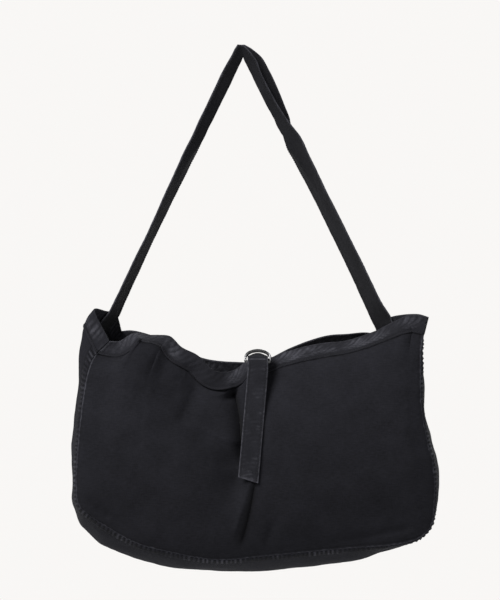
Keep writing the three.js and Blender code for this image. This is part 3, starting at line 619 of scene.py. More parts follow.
def canvas(name, colour, worn_and_painted_light, streaks=1.0):
    """Washed cotton canvas: a plain weave with slubs and faded blotches. It has pale threads where it is
    rubbed, and a painted highlight in places, where its attribute is above nothing, and painted shade in its
    grooves and creases, where it is below nothing."""
    finish = Finish(name)
    uv = finish.node("ShaderNodeUVMap", {"uv_map": "cloth"}, {})
    x = finish.node("ShaderNodeSeparateXYZ", {}, {0: uv}, "X")
    y = finish.node("ShaderNodeSeparateXYZ", {}, {0: uv}, "Y")
    weave = (x * (math.pi / WEAVE)).sine() * (y * (math.pi / WEAVE)).sine()
    slub = finish.noise(finish.scaled(uv, SLUBS), 1.0, 3, 0.65)
    rib = finish.noise(finish.scaled(uv, RIBS), 1.0, 2, 0.6)
    speck = finish.noise(uv, SPECKS, 2, 0.7)
    blotch = finish.noise(uv, BLOTCHES, 4, 0.6)
    rub = finish.noise(uv, RUBBED, 4, 0.65)
    # Painted shade: below nothing the tone falls towards a share of itself, as the shade in grooves and
    # creases. Above nothing the pale colour is mixed in, as rubbed threads and painted highlights.
    wear_and_painted_light = finish.node("ShaderNodeAttribute", {"attribute_name": "wear_and_painted_light"}, {}, "Fac")
    faded = finish.node(
        "ShaderNodeMapRange",
        {},
        {"Value": wear_and_painted_light, "From Min": -1.0, "From Max": 0.0, "To Min": PAINTED_GROOVE_SHADE, "To Max": 1.0},
    )
    tone = faded * (0.8 * blotch + 1.1 * streaks * (slub - 0.5) + 0.5 * rib + 0.7 * speck - 0.05)
    dyed = finish.node("ShaderNodeVectorMath", {"operation": "SCALE"}, {0: colour, "Scale": tone})
    pale = finish.node(
        "ShaderNodeMapRange",
        {"interpolation_type": "SMOOTHSTEP"},
        {"Value": wear_and_painted_light * (2.6 * rub + 0.5 * streaks * (slub - 0.5) - 0.3), "From Min": 0.02, "From Max": 1.0},
    )
    finish.fill(finish.shader, {
        "Base Color": finish.mix(pale, dyed, (*worn_and_painted_light, 1)),
        "Roughness": 0.8 + 0.25 * speck,
        "Specular IOR Level": 0.16,
        "Sheen Weight": 0.03,
        "Sheen Roughness": 0.4,
    })
    height = weave * 0.35 + slub * 0.7 + speck * 0.5
    bump = finish.node("ShaderNodeBump", {}, {"Strength": 0.8, "Distance": WEAVE_DEPTH, "Height": height})
    finish.fill(finish.shader, {"Normal": bump})
    return finish.material


def shares(count, near=()):
    """Even steps from 0 to 1, with further ones close to both ends."""
    return np.unique(np.concatenate([np.linspace(0, 1, count + 1), near, 1 - np.array(near)]))


# The lower part of the panels is painted darker, as the shade where they turn down from the light, below a
# height and over a distance.
LOW_PAINTED_SHADE = 0.27
LOW_FROM = -0.44
LOW_OVER = 0.15
# The pitch of the puckers beside a panel's seams, of the larger ones farther in, and of those below its hem.
SEAM_PUCKER = 0.0085
SEAM_SWELL = 0.023
HEM_PUCKER = 0.012
# A cloth lies still under its hem, and is fully uneven from this far below it.
STILL_BELOW_HEM = 0.012


def panel_cloth(seam, mouth, folds, side, across, hem, body, seed):
    """A panel with its own unevenness and the small puckers beside its seams."""
    cloth = Cloth(panel_points(seam, mouth, folds, side, across, hem, body), -side)
    # The weave of a panel runs level, whatever the line of the mouth above it.
    cloth.grain = cloth.points[..., ::2].copy()
    to_seam = np.minimum(np.minimum(cloth.left, cloth.right), cloth.bottom)
    seam_run = np.where(cloth.bottom < np.minimum(cloth.left, cloth.right), cloth.across, cloth.down)
    calm = smooth(to_seam / 0.05)
    below_hem = cloth.down - cloth.down[len(hem) - 1]
    push = 0.0022 * uneven(cloth.points, 0.11, seed) * calm * smooth(below_hem / STILL_BELOW_HEM)
    push += 0.0005 * uneven(cloth.points, 0.024, seed + 7) * smooth(to_seam / 0.012)
    push -= 0.0009 * np.exp(-to_seam / 0.007) * smooth(to_seam / 0.003) * ripple(seam_run, SEAM_PUCKER, seed)
    swells = ripple(seam_run, SEAM_SWELL, seed + 2)
    push -= 0.0011 * np.exp(-to_seam / 0.016) * smooth(to_seam / 0.004) * swells
    hem_puckers = ripple(cloth.across, HEM_PUCKER, seed + 1)
    push -= 0.0007 * np.exp(-np.abs(below_hem) / 0.009) * hem_puckers * (below_hem > 0)
    cloth.push(push)
    wear_and_painted_light = 1.5 * np.exp(-to_seam / 0.0019) * (0.7 + 0.5 * ripple(seam_run, SEAM_PUCKER, seed))
    wear_and_painted_light += 0.12 * ripple(cloth.across, HEM_PUCKER, seed + 1) * near_line(below_hem, 0.004)
    # Painted shade: a dark line under the hem and a dark groove a little in from the seams, then the painted
    # shade and pale ridges of the sharp folds.
    wear_and_painted_light -= 1.1 * np.exp(-np.abs(below_hem) / 0.0014) + 0.5 * near_line(to_seam - 0.0036, 0.0013)
    # The lower part of the panel is painted darker, as shade.
    wear_and_painted_light += fold_rub_and_painted_light(folds, cloth.points) - LOW_PAINTED_SHADE * smooth((LOW_FROM - cloth.points[..., 2]) / LOW_OVER)
    return cloth, wear_and_painted_light


# The columns and rows of points on a panel, closest at its edges and in the big fold.
EDGE_STEPS = (0.0006, 0.0016, 0.003)
PANEL_ACROSS = np.unique(np.concatenate([
    np.linspace(0, 0.42, 92), np.linspace(0.42, 0.53, 66), np.linspace(0.53, 1, 102), EDGE_STEPS,
    1 - np.array(EDGE_STEPS)]))
UNDER_HEM = np.array([0.8, 0.9, 1.0])
PANEL_BODY = shares(140, EDGE_STEPS)[1:]
front_seam = Seam(FRONT_SEAM, FRONT_CORNERS)
back_seam = Seam(BACK_SEAM, BACK_CORNERS)
canvas_finish = canvas("washed canvas", CANVAS_COLOUR, CANVAS_WORN_AND_HIGHLIGHT)

# Each panel is uneven in its own way.
FRONT_SEED = 3.0
BACK_SEED = 11.0
# The edge of a single cloth is rolled over within this many times half its thickness.
SHEET_ROLL = 2
front_cloth, front_wear_and_painted_light = panel_cloth(
    front_seam, FRONT_MOUTH, FRONT_FOLDS, -1, PANEL_ACROSS, UNDER_HEM, PANEL_BODY, FRONT_SEED)
front_panel = sew(
    "front_panel_cloth", front_cloth, CLOTH, front_wear_and_painted_light, canvas_finish, ["front_panel"],
    roll=SHEET_ROLL)
back_cloth, back_wear_and_painted_light = panel_cloth(
    back_seam, BACK_MOUTH, BACK_FOLDS, 1, PANEL_ACROSS, UNDER_HEM, PANEL_BODY, BACK_SEED)
back_panel = sew(
    "back_panel_cloth", back_cloth, CLOTH, back_wear_and_painted_light, canvas_finish, ["back_panel"],
    roll=SHEET_ROLL)

# Gusset
# One long strip of the same canvas that makes the sides and the bottom. Its seam allowances are turned to
# its inside and stitched down, which gives a thicker, puckered band along both seams.
SEAM_BAND = 0.0115
BAND_STITCH = SEAM_BAND - 0.0015
RUNG_PITCH = 0.0062
STRAP_WIDTH = 0.038
STRAP_FROM = (1 - STRAP_WIDTH / BAG_DEPTH) / 2
STRAP_TO = 1 - STRAP_FROM
# The edges of the mouth at both sides of the bag, and how far down they draw the gusset out of its curve.
GATHER_LENGTH = 0.09
TOP_LEFT = columns("along across down depth", [
    (0.27, -0.882, -0.03, -0.4),
    (STRAP_FROM, -0.822, -0.024, -0.2),
    (STRAP_TO, -0.77, -0.01, 0.21),
])
TOP_RIGHT = columns("along across down depth", [
    (0.2, 0.91, -0.012, -0.2),
    (STRAP_FROM, 0.782, -0.002, 0),
    (STRAP_TO, 0.693, 0.034, 0.32),
])
# Drag lines that run down from the ends of the shoulder strap: where each starts across the gusset, where
# it ends, how long it is and how deep.
DRAG_LINES = columns("start end length push", [
    (0.33, 0.2, 0.19, 0.005),
    (0.5, 0.52, 0.12, -0.003),
    (0.66, 0.8, 0.2, 0.005),
])


def gusset_points(stations, across):
    """The middle of the gusset. stations are shares of both seams' lengths, across is front to back."""
    front_u, back_u = stations
    front, back = front_seam.curve.along(front_u), back_seam.curve.along(back_u)
    run = np.gradient(front + back, axis=0)
    outward = unit(np.stack([run[:, 2], np.zeros(len(run)), -run[:, 0]], 1))
    bulge = column_at(FRONT_SEAM["bulge"], front_seam.curve.row_of(front_u)) * BAG_DEPTH
    w = across[None, :, None]
    regular = lerp(front[:, None], back[:, None], w) + (outward * bulge[:, None])[:, None] * 4 * w * (1 - w)
    points = regular.copy()
    whole = front_seam.curve.length
    for end, table in ((0, TOP_LEFT), (-1, TOP_RIGHT)):
        knots = np.concatenate([front_seam.curve.at(abs(end)), place(table), back_seam.curve.at(abs(end))])
        starts = np.concatenate([[0], table["along"], [1]])
        top = Curve(knots).at(np.interp(across, starts, np.linspace(0, 1, len(starts))))
        front_end, back_end = front_seam.curve.at(abs(end)), back_seam.curve.at(abs(end))
        share = across[:, None]
        edge_out = outward[end] * column_at(FRONT_SEAM["bulge"], np.array([abs(end) * 1.0]))[0] * BAG_DEPTH
        edge = lerp(front_end, back_end, share) + edge_out * 4 * share * (1 - share)
        pull = 1 - smooth(np.abs(front_u - abs(end)) * whole / GATHER_LENGTH)
        points += (top - edge)[None] * pull[:, None, None]
    return points


def seam_stations(seam, hem, side, bottom):
    """Shares of a seam's length: down the left side from the mouth, along the bottom and up the right."""
    left = np.concatenate([hem * seam.hem, lerp(seam.hem, seam.left, side[1:])])
    right = 1 - np.concatenate([hem * seam.hem, lerp(seam.hem, 1 - seam.right, side[1:])])
    return np.concatenate([left, lerp(seam.left, seam.right, bottom[1:-1]), right[::-1]])


def gusset_cloth(stations, across):
    """The gusset with its stitched bands, its drag lines and its own unevenness."""
    cloth = Cloth(gusset_points(stations, across), -1)
    to_seam = np.minimum(cloth.left, cloth.right)
    from_mouth = np.minimum(stations[0], 1 - stations[0])[:, None] * front_seam.curve.length
    run = stations[0][:, None] * front_seam.curve.length + 0 * to_seam
    phase = np.where(cloth.left < cloth.right, 2.0, 5.0)
    rungs = ripple(run, RUNG_PITCH, phase, 0.35)
    band = smooth((SEAM_BAND + 0.001 - to_seam) / 0.002) * smooth(to_seam / 0.0015)
    push = 0.0022 * uneven(cloth.points, 0.1, 20.0) * smooth(to_seam / 0.04)
    push += 0.0006 * uneven(cloth.points, 0.025, 27.0) * smooth(to_seam / 0.02)
    push += band * (0.0006 + 0.0015 * rungs) - 0.0007 * near_line(to_seam - SEAM_BAND + 0.0015, 0.0008)
    push -= 0.0007 * np.exp(-np.clip(to_seam - SEAM_BAND, 0, 1) / 0.008) * rungs * (to_seam > SEAM_BAND)
    for start, end, length, depth in zip(*DRAG_LINES.values()):
        middle = lerp(start, end, from_mouth / length)
        fall = smooth(from_mouth / 0.02) * (1 - smooth(from_mouth / length))
        push -= depth * fall * near_line(across[None] - middle, 0.05)
    cloth.push(push * smooth((from_mouth - HEM_WIDTH) / STILL_BELOW_HEM))
    patches = np.clip(0.75 + 0.7 * uneven(cloth.points, 0.04, 29.0), 0.4, 1.2)
    # The rungs of the bands are rubbed pale, and the gaps between them are painted dark, as shade. A line
    # just beyond each band is painted dark, as the shade of its groove.
    wear_and_painted_light = band * (1.7 * rungs * patches - 0.8) + 0.5 * near_line(to_seam, 0.0013)
    wear_and_painted_light -= 0.7 * near_line(to_seam - SEAM_BAND - 0.0012, 0.0009)
    return cloth, wear_and_painted_light


GUSSET_ACROSS = np.unique(np.concatenate([
    np.linspace(0, 0.1, 13), np.linspace(0.1, 0.9, 22), np.linspace(0.9, 1, 13),
    [0.003, 0.006, 0.994, 0.997]]))
GUSSET_SIDE = shares(205)
GUSSET_BOTTOM = shares(410)
gusset_lines = [seam_stations(s, UNDER_HEM, GUSSET_SIDE, GUSSET_BOTTOM) for s in (front_seam, back_seam)]
gusset_mesh, gusset_wear_and_painted_light = gusset_cloth(gusset_lines, GUSSET_ACROSS)
# The gusset is cut across the cloth, and its slubs show less.
gusset_finish = canvas("gusset canvas", CANVAS_COLOUR, CANVAS_WORN_AND_HIGHLIGHT, 0.4)
gusset = sew(
    "gusset_cloth", gusset_mesh, CLOTH, gusset_wear_and_painted_light, gusset_finish, ["gusset"], roll=SHEET_ROLL)

# The stitches of the whole bag: their colour, pitch and thickness, and the share of the pitch on top.
THREAD_COLOUR = (0.03, 0.03, 0.034)
STITCH = 0.0033
THREAD = 0.00055
STITCH_SHOWS = 0.74
# A stitch as sections: how far along it each is, how thick, and how high above the cloth in thicknesses.
STITCH_SHAPE = [(0, 0, -0.8), (0.16, 0.9, 0.1), (0.5, 1, 0.45), (0.84, 0.9, 0.1), (1, 0, -0.8)]
STITCH_SIDES = 5


def stitch_line(path, normals):
    """Stitches along a line on the cloth, each a short thread that dips into it at both ends."""
    run = np.concatenate([[0], np.cumsum(np.linalg.norm(np.diff(path, axis=0), axis=1))])
    first = (np.arange(int(run[-1] / STITCH)) + 0.13) * STITCH
    sides = STITCH_SIDES
    rings = []
    for share, radius, lift in STITCH_SHAPE:
        at = first + share * STITCH * STITCH_SHOWS
        centre, normal = (
            np.stack([np.interp(at, run, g[:, i]) for i in range(3)], 1) for g in (path, normals))
        ahead = np.stack([np.interp(at + 1e-4, run, path[:, i]) for i in range(3)], 1)
        beside = unit(np.cross(ahead - centre, normal))
        centre = centre + normal * lift * THREAD
        turns = [0] if radius == 0 else np.arange(sides) * 2 * np.pi / sides
        for turn in turns:
            rings.append(centre + (beside * np.cos(turn) + normal * np.sin(turn)) * radius * THREAD / 2)
    points = np.stack(rings, 1)
    faces = [(0, 1 + (i + 1) % sides, 1 + i) for i in range(sides)]
    for ring in range(2):
        a, b = 1 + ring * sides, 1 + (ring + 1) * sides
        faces += [(a + i, a + (i + 1) % sides, b + (i + 1) % sides, b + i) for i in range(sides)]
    tip = 1 + 3 * sides
    faces += [(tip, tip - sides + i, tip - sides + (i + 1) % sides) for i in range(sides)]
    return points, faces


def sew_lines(name, lines, material):
    """All the stitches of a piece as one object."""
    points, faces = [], []
    for line in lines:
        stitches, shape = stitch_line(*line)
        for stitch in stitches:
            faces += [tuple(len(points) + i for i in face) for face in shape]
            points += stitch.tolist()
    mesh = bpy.data.meshes.new(name)
    mesh.from_pydata(points, [], faces)
    piece = bpy.data.objects.new(name, mesh)
    bpy.context.scene.collection.objects.link(piece)
    return finish_piece(piece, material, ())


def thread_finish():
    """Spun cotton thread, dyed with the bag and a little faded in patches."""
    finish = Finish("cotton thread")
    spot = finish.node("ShaderNodeTexCoord", {}, {}, "Object")
    fluff = finish.noise(spot, 900, 3, 0.6)
    fade = finish.noise(spot, 40, 2)
    tone = 0.3 + 0.9 * fluff + 0.6 * fade
    dyed = finish.node("ShaderNodeVectorMath", {"operation": "SCALE"}, {0: THREAD_COLOUR, "Scale": tone})
    bump = finish.node("ShaderNodeBump", {}, {"Strength": 0.6, "Distance": 0.0001, "Height": fluff})
    finish.fill(finish.shader, {
        "Base Color": dyed,
        "Roughness": 0.6 + 0.3 * fluff,
        "Specular IOR Level": 0.2,
        "Normal": bump,
    })
    return finish.material


thread = thread_finish()
band_lines = [gusset_mesh.inset(edge, BAND_STITCH, CLOTH / 2) for edge in ("left", "right")]
gusset_stitches = sew_lines("gusset_stitches", band_lines, thread)

# Hems of the mouth
# The top edge of every panel is folded over twice and stitched along its lower fold. Washing has shrunk the
# thread, so the hems are roped: their ridges are rubbed pale, and the hollows stay dark.
HEM = 0.0028
HEM_STITCH = 0.0025
HEM_COLOUR = (0.018, 0.018, 0.0225)
HEM_WORN_AND_HIGHLIGHT = (0.07, 0.07, 0.083)
HEM_DOWN = shares(14, (0.012, 0.03, 0.055))


# The pitch of the hems' ridges and of the small ones between them, and how far the ridges run aslant.
RIDGE = 0.0088
SMALL_RIDGE = 0.0041
RIDGE_SLANT = 0.08
SMALL_SLANT = -0.12


def roped(cloth, from_rim, seed, depth=1.0):
    """Gives a hem its ridges of some depth and its line of stitching, and returns its rubbed places and the
    painted shade of its stitching.
    """
    below = from_rim - (HEM_WIDTH - HEM_STITCH)
    ridges = ripple(cloth.across + RIDGE_SLANT * from_rim, RIDGE, seed, 0.55)
    small = ripple(cloth.across + SMALL_SLANT * from_rim, SMALL_RIDGE, seed + 4, 0.6)
    between = smooth(from_rim / 0.006) * smooth(-below / 0.006)
    patches = np.clip(0.6 + 1.1 * uneven(cloth.points, 0.03, seed + 9), 0.1, 1.25)
    push = depth * between * (0.0013 * ridges * (0.5 + 0.5 * patches) + 0.0004 * small)
    push += 0.0008 * smooth((below + 0.0002) / 0.002)
    push += 0.0006 * uneven(cloth.points, 0.03, seed)
    push *= smooth(np.minimum(cloth.left, cloth.right) / 0.005)
    cloth.push(push - 0.0004 * near_line(below, 0.0008))
    wear_and_painted_light = between * (0.18 + 0.8 * ridges * patches + 0.2 * small * patches)
    wear_and_painted_light += 0.6 * near_line(from_rim, 0.0018)
    # The line of stitching is painted dark, as the shade in its groove.
    return wear_and_painted_light + 0.3 * near_line(from_rim - HEM_WIDTH, 0.0007) - 0.8 * near_line(below, 0.0007)


# How much the front hem is rubbed along the mouth. Where it turns down into the dip of the mouth, its
# paleness is mostly taken out, as painted shade.
FRONT_HEM_RUB_AND_SHADE = columns("across rubbed", [
    (-0.8, 1.2),
    (-0.46, 1.35),
    (-0.37, 0.25),
    (-0.17, 0.1),
    (-0.1, 1.1),
    (0.6, 1),
    (0.9, 0.7),
])
BACK_RUB = 0.55
CORNER_RUB = 0.65
# How deep the ridges of the other hems are, and how much paler the inner face of the back hem is painted, as
# painted light where it shows inside the mouth.
BACK_ROPED = 0.4
CORNER_ROPED = 0.5
BACK_INNER_PAINTED_LIGHT = 0.3
HEM_ACROSS = shares(330, EDGE_STEPS)
hem_finish = canvas("hemmed canvas", HEM_COLOUR, HEM_WORN_AND_HIGHLIGHT, 0.35)
for name, seam, mouth, folds, side, node in (
    ("front_hem_cloth", front_seam, FRONT_MOUTH, FRONT_FOLDS, -1, "front_hem"),
    ("back_hem_cloth", back_seam, BACK_MOUTH, BACK_FOLDS, 1, "back_hem"),
):
    cloth = Cloth(panel_points(seam, mouth, folds, side, HEM_ACROSS, HEM_DOWN, np.array([])), -side)
    wear_and_painted_light = roped(cloth, cloth.top, 31.0 + side, 1.0 if side < 0 else BACK_ROPED)
    if side < 0:
        wear_and_painted_light *= np.interp((cloth.points[..., 0] - SWAY) / (BAG_WIDTH / 2), *FRONT_HEM_RUB_AND_SHADE.values())
    else:
        wear_and_painted_light *= BACK_RUB
    inner_painted_light = 0.0 if side < 0 else BACK_INNER_PAINTED_LIGHT
    sew(name, cloth, HEM, wear_and_painted_light, hem_finish, [node], inner_painted_light=inner_painted_light)
    line = cloth.inset("bottom", HEM_STITCH, HEM / 2)
    sew_lines(name + "_stitches", [line], thread)
    name + "_stitches"

for name, right, node in (
    ("gusset_hem_left_cloth", False, "gusset_hem_left"),
    ("gusset_hem_right_cloth", True, "gusset_hem_right"),
):
    # The rows beyond the hem give the surface its tangents and are cut off again.
    reach = np.concatenate([HEM_DOWN, [1.1, 1.2]])
    lines = [1 - reach * s.hem if right else reach * s.hem for s in (front_seam, back_seam)]
    if right:
        lines = [line[::-1] for line in lines]
    grid = gusset_points(lines, shares(120, (0.004, 0.01)))
    grid = grid[2:] if right else grid[:-2]
    cloth = Cloth(grid, -1)
    wear_and_painted_light = CORNER_RUB * roped(cloth, cloth.bottom if right else cloth.top, 41.0 + right, CORNER_ROPED)
    sew(name, cloth, HEM, wear_and_painted_light, hem_finish, [node])
    line = cloth.inset("top" if right else "bottom", HEM_STITCH, HEM / 2)
    sew_lines(name + "_stitches", [line], thread)
    name + "_stitches"


# Shoulder strap
# A long strip of canvas folded to two layers and stitched along both edges. Its ends are sewn to the inside
# of the gusset, and where the bag is hung it folds lengthwise.
STRAP = 0.0024
STRAP_SEWN = 0.052
STRAP_GAP = 0.0018
STRAP_COLOUR = (0.0168, 0.0168, 0.0195)
# The rows of stitches lie this far from the long edges and from the ends.
EDGE_STITCH = 0.0028
END_STITCHES = (0.004, 0.042)
# The pitch of the gathers that the stitches make along its edges.
EDGE_GATHER = 0.0078
# How far an arm bows outward, and how much more of this is in its lower half.
ARM_BOW = 0.0026
ARM_SAG = 1.6
# Where it is hung the strap leans a little, and its halves turn up on both sides of a round fold.
CREST_LEAN = 15
CREST_TURN = 78
FOLD_ROUND = 0.09
# The two arms from where the strap is hung to the mouth. front and back are the degrees that each half of
# the strap turns up, and crease is where the lengthwise fold is, from the front edge to the back edge.
LEFT_ARM = columns("along front back crease", [
    (0.02, 50, 50, 0.5),
    (0.08, 60, 56, 0.5),
    (0.2, 55, 45, 0.5),
    (0.3, 52, 8, 0.5),
    (0.38, 34, -10, 0.5),
    (0.5, 19, -17, 0.5),
    (0.7, 14.5, -14.5, 0.5),
    (0.85, 17, -17, 0.5),
    (1, 19, -19, 0.5),
])
RIGHT_ARM = columns("along front back crease", [
    (0.02, 70, 74, 0.4),
    (0.06, 74, 80, 0.35),
    (0.15, 72, 78, 0.36),
    (0.22, 68, 70, 0.4),
    (0.28, 70, 66, 0.49),
    (0.33, 67, 0, 0.61),
    (0.4, 54, -12, 0.54),
    (0.5, 32, -27, 0.5),
    (0.7, 30, -30, 0.5),
    (0.85, 32, -32, 0.5),
    (1, 34, -34, 0.5),
])
ARM_ROWS = 16
STRAP_ACROSS = shares(24, (0.008, 0.02))


def sewn_end(right):
    """The end of the strap inside the gusset: rows of points across the strap, from the mouth down."""
    run = np.concatenate([np.linspace(0, STRAP_SEWN, 8), [STRAP_SEWN + 0.005]])
    lines = [run / s.curve.length for s in (front_seam, back_seam)]
    lines = [1 - line if right else line for line in lines]
    if right:
        lines = [line[::-1] for line in lines]
    grid = gusset_points(lines, np.array([STRAP_FROM, STRAP_TO]))
    grid = grid[::-1] if right else grid
    a, b = grid[:, 0], grid[:, 1]
    way = np.gradient(a + b, axis=0) * (-1 if right else 1)
    inside = unit(np.cross(way, b - a))
    offset = HEM / 2 + STRAP / 2 + STRAP_GAP
    rows = lerp(a[:, None], b[:, None], STRAP_ACROSS[None, :, None]) + inside[:, None] * offset
    return rows[:-1]


def strap_section(crease_at, front, back, crease, outward):
    """Points across the strap, where each half turns from the crease and the fold between them is round."""
    fine = np.linspace(0, 1, 400)
    share = smooth((fine - crease) / FOLD_ROUND + 0.5)
    slope = np.radians(lerp(-front, back, share))
    y = np.cumsum(np.cos(slope)) * STRAP_WIDTH / len(fine)
    out = np.cumsum(np.sin(slope)) * STRAP_WIDTH / len(fine)
    y0, out0 = np.interp(crease, fine, y), np.interp(crease, fine, out)
    y, out = np.interp(STRAP_ACROSS, fine, y) - y0, np.interp(STRAP_ACROSS, fine, out) - out0
    return crease_at + np.stack([0 * y, y, 0 * y], 1) + out[:, None] * outward


def arm_rows(base, table, side):
    """One arm of the strap from where it is hung to the mouth. Its inner edge is pulled straight."""
    top = np.array([0, 0, STRAP / 2])
    foot = np.array([base[-1, 0], (base[0, 1] + base[-1, 1]) / 2, base[-1, 2]])
    run = unit(foot - top)
    outward = unit(np.array([side * abs(run[2]), 0, abs(run[0])]))
    rows = []
    for step in np.arange(ARM_ROWS) / ARM_ROWS:
        t = lerp(table["along"][0], 1, step)
        at = max(i for i in range(len(table["along"]) - 1) if table["along"][i] <= t)
        part = smooth((t - table["along"][at]) / (table["along"][at + 1] - table["along"][at]))
        front, back, crease = (
            lerp(table[c][at], table[c][at + 1], part) for c in ("front", "back", "crease"))
        inner = max(0, -math.sin(math.radians(back))) * STRAP_WIDTH * (1 - crease)
        bow = ARM_BOW * math.sin(math.pi * t**ARM_SAG)
        rows.append(strap_section(lerp(top, foot, t) + outward * (inner + bow), front, back, crease, outward))
    return rows


left_end, right_end = sewn_end(False), sewn_end(True)
lean_up = np.array([-math.sin(math.radians(CREST_LEAN)), 0, math.cos(math.radians(CREST_LEAN))])
crest = strap_section(np.array([0, 0, STRAP / 2]), CREST_TURN, CREST_TURN, 0.5, lean_up)
key_rows = np.array([
    *left_end[::-1],
    *arm_rows(left_end[0], LEFT_ARM, -1)[::-1],
    crest,
    *arm_rows(right_end[0], RIGHT_ARM, 1),
    *right_end,
])
middle_curve = Curve(key_rows[:, len(STRAP_ACROSS) // 2])
even_rows = middle_curve.row_of(shares(360, (0.0006, 0.0014)))
strap_grid = np.stack([Curve(key_rows[:, k]).at(even_rows) for k in range(len(STRAP_ACROSS))], 1)
strap_cloth = Cloth(strap_grid, 1)
side_edge = np.minimum(strap_cloth.left, strap_cloth.right)
strap_seam = near_line(side_edge - EDGE_STITCH, 0.0009)
edge_gather = ripple(strap_cloth.down, EDGE_GATHER, 1.0)
strap_push = 0.0005 * uneven(strap_cloth.points, 0.03, 50.0) - 0.00045 * strap_seam
strap_push += 0.0003 * edge_gather * near_line(side_edge - 0.001, 0.002)
strap_cloth.push(strap_push)
# The lines of stitching are painted darker, as the shade in their grooves.
strap_wear_and_painted_shade = 1.1 * np.exp(-side_edge / 0.0019) * (0.5 + 0.7 * edge_gather) - 0.4 * strap_seam
strap_wear_and_painted_shade += 0.1 * edge_gather * near_line(side_edge, 0.006)
strap_finish = canvas("strap canvas", STRAP_COLOUR, HEM_WORN_AND_HIGHLIGHT)
shoulder_strap = sew(
    "shoulder_strap_cloth", strap_cloth, STRAP, strap_wear_and_painted_shade, strap_finish, ["shoulder_strap"])
strap_lines = []
for face in (1, -1):
    for edge in ("left", "right"):
        strap_lines.append(strap_cloth.inset(edge, EDGE_STITCH, face * STRAP / 2))
    for distance in END_STITCHES:
        for edge in ("top", "bottom"):
            strap_lines.append(strap_cloth.inset(edge, distance, face * STRAP / 2))
shoulder_strap_stitches = sew_lines("shoulder_strap_stitches", strap_lines, thread)

# Rings and their keeper
# Two D-rings of bent steel wire stand up side by side on the front hem. A loop of canvas goes round their
# bars, and its two layers are sewn to the hem below them. The closing strap lies over all of it.
RING_WIDTH = 0.0305
RING_RISE = 0.017
RING_LEG = 0.005
RING_CORNER = 0.0025
RING_WIRE = 0.003
STEEL_COLOUR = (0.22, 0.22, 0.225)
# How steep the rings stand, how far each end of their bows is bent, and how far below the rim their bars lie.
RING_TILT = 62
BOW_TURN = 60
RING_SEAT = 0.019
KEEPER_WIDTH = 0.024
KEEPER = 0.0016
KEEPER_DROP = 0.038
# The width and thickness of the closing strap, how far it reaches down the front and the back, how far to
# the right of the bag's middle it lies, and how many degrees it leans.
TAB_WIDTH = 0.0275
TAB = 0.002
TAB_TAIL = 0.186
TAB_SEWN = 0.032
TAB_MIDDLE = 0.006
TAB_LEAN = 5.2
# The air between loose pieces, and what the unevenness of the cloth may take up.
GAP = 0.0004
MARGIN = 0.0012
tab_x = SWAY + TAB_MIDDLE


def under_tab(seam, mouth, folds, side, drop, seed):
    """The outline of a panel under the closing strap, seen from the side, from the edge of the mouth down."""
    whole, _ = panel_cloth(seam, mouth, folds, side, PANEL_ACROSS, shares(8), shares(120)[1:], seed)
    rows, across = whole.points.shape[:2]
    index = np.arange(rows * across).reshape(rows, across)
    quads = np.stack([index[:-1, :-1], index[1:, :-1], index[1:, 1:], index[:-1, 1:]], -1).reshape(-1, 4)
    tree = BVHTree.FromPolygons(whole.points.reshape(-1, 3).tolist(), quads.tolist())
    beside = np.array([-0.5, -0.25, 0, 0.25, 0.5]) * TAB_WIDTH
    rim = whole.points[0]
    rims = np.stack([np.interp(tab_x + beside, rim[:, 0], rim[:, i]) for i in (1, 2)], 1)
    outermost = min if side < 0 else max
    top = rims[:, 1].max()
    profile = [(tab_x, outermost(rims[:, 0]), top)]
    for z in np.arange(top - 0.002, top - drop, -0.002):
        lean = math.tan(math.radians(TAB_LEAN)) * max(0, top - z - RING_SEAT) if side < 0 else 0
        hits = [tree.ray_cast((tab_x - lean + s, -1, z), (0, 1, 0))[0] for s in beside]
        if None not in hits:
            profile.append((tab_x - lean, outermost(hit.y for hit in hits), z))
    return np.array(profile)


def off_path(profile, side, distance_at):
    """A line off a profile by a distance that changes on the way down. It bridges hollows, as straps do."""
    down = np.concatenate([[0], np.cumsum(np.linalg.norm(np.diff(profile, axis=0), axis=1))])
    run = np.gradient(profile, axis=0)
    outward = unit(np.stack([0 * down, run[:, 2], -run[:, 1]], 1) * -side)
    path = profile + outward * np.array([distance_at(d) for d in down])[:, None]
    for _ in range(300):
        for i in range(1, len(path) - 1):
            chord = (path[i - 1, 1] + path[i + 1, 1]) / 2
            if (chord - path[i, 1]) * side > 0:
                path[i, 1] = chord
    return down, path


def arc(centre, radius, start, end, steps):
    """Points on a circle in the side view, from one direction to another the short way round."""
    first, last = math.atan2(start[2], start[1]), math.atan2(end[2], end[1])
    turn = (last - first + math.pi) % (2 * math.pi) - math.pi
    angles = first + turn * np.linspace(0, 1, steps + 1)
    return centre + radius * np.stack([0 * angles, np.cos(angles), np.sin(angles)], 1)


def spaced(points, spacing):
    """Points of a dense line at about the given spacing, with both of its ends."""
    kept = [points[0]]
    for p in points[1:]:
        if np.linalg.norm(p - kept[-1]) >= spacing:
            kept.append(p)
    kept[-1] = points[-1]
    return np.array(kept)


def band(rows, width, across, cups, slant=0.0):
    """A band of cloth along a line, bent across where it has a cup, with its end cut at a slant."""
    run = unit(np.gradient(rows, axis=0))
    sideways = unit(np.array([1.0, 0, 0]) - run * run[:, :1])
    under = np.cross(sideways, run)
    out = 2 * across - 1
    down = np.concatenate([[0], np.cumsum(np.linalg.norm(np.diff(rows, axis=0), axis=1))])
    cut = slant * smooth((down - down[-1] + 0.03) / 0.03)
    reach = (width / 2 - (2 * cups**2) / (3 * width / 2))[:, None] * out
    hollow = under[:, None] * (cups[:, None] * out**2)[..., None]
    points = rows[:, None] + sideways[:, None] * reach[..., None] + hollow
    return points + run[:, None] * (cut[:, None] * reach)[..., None]


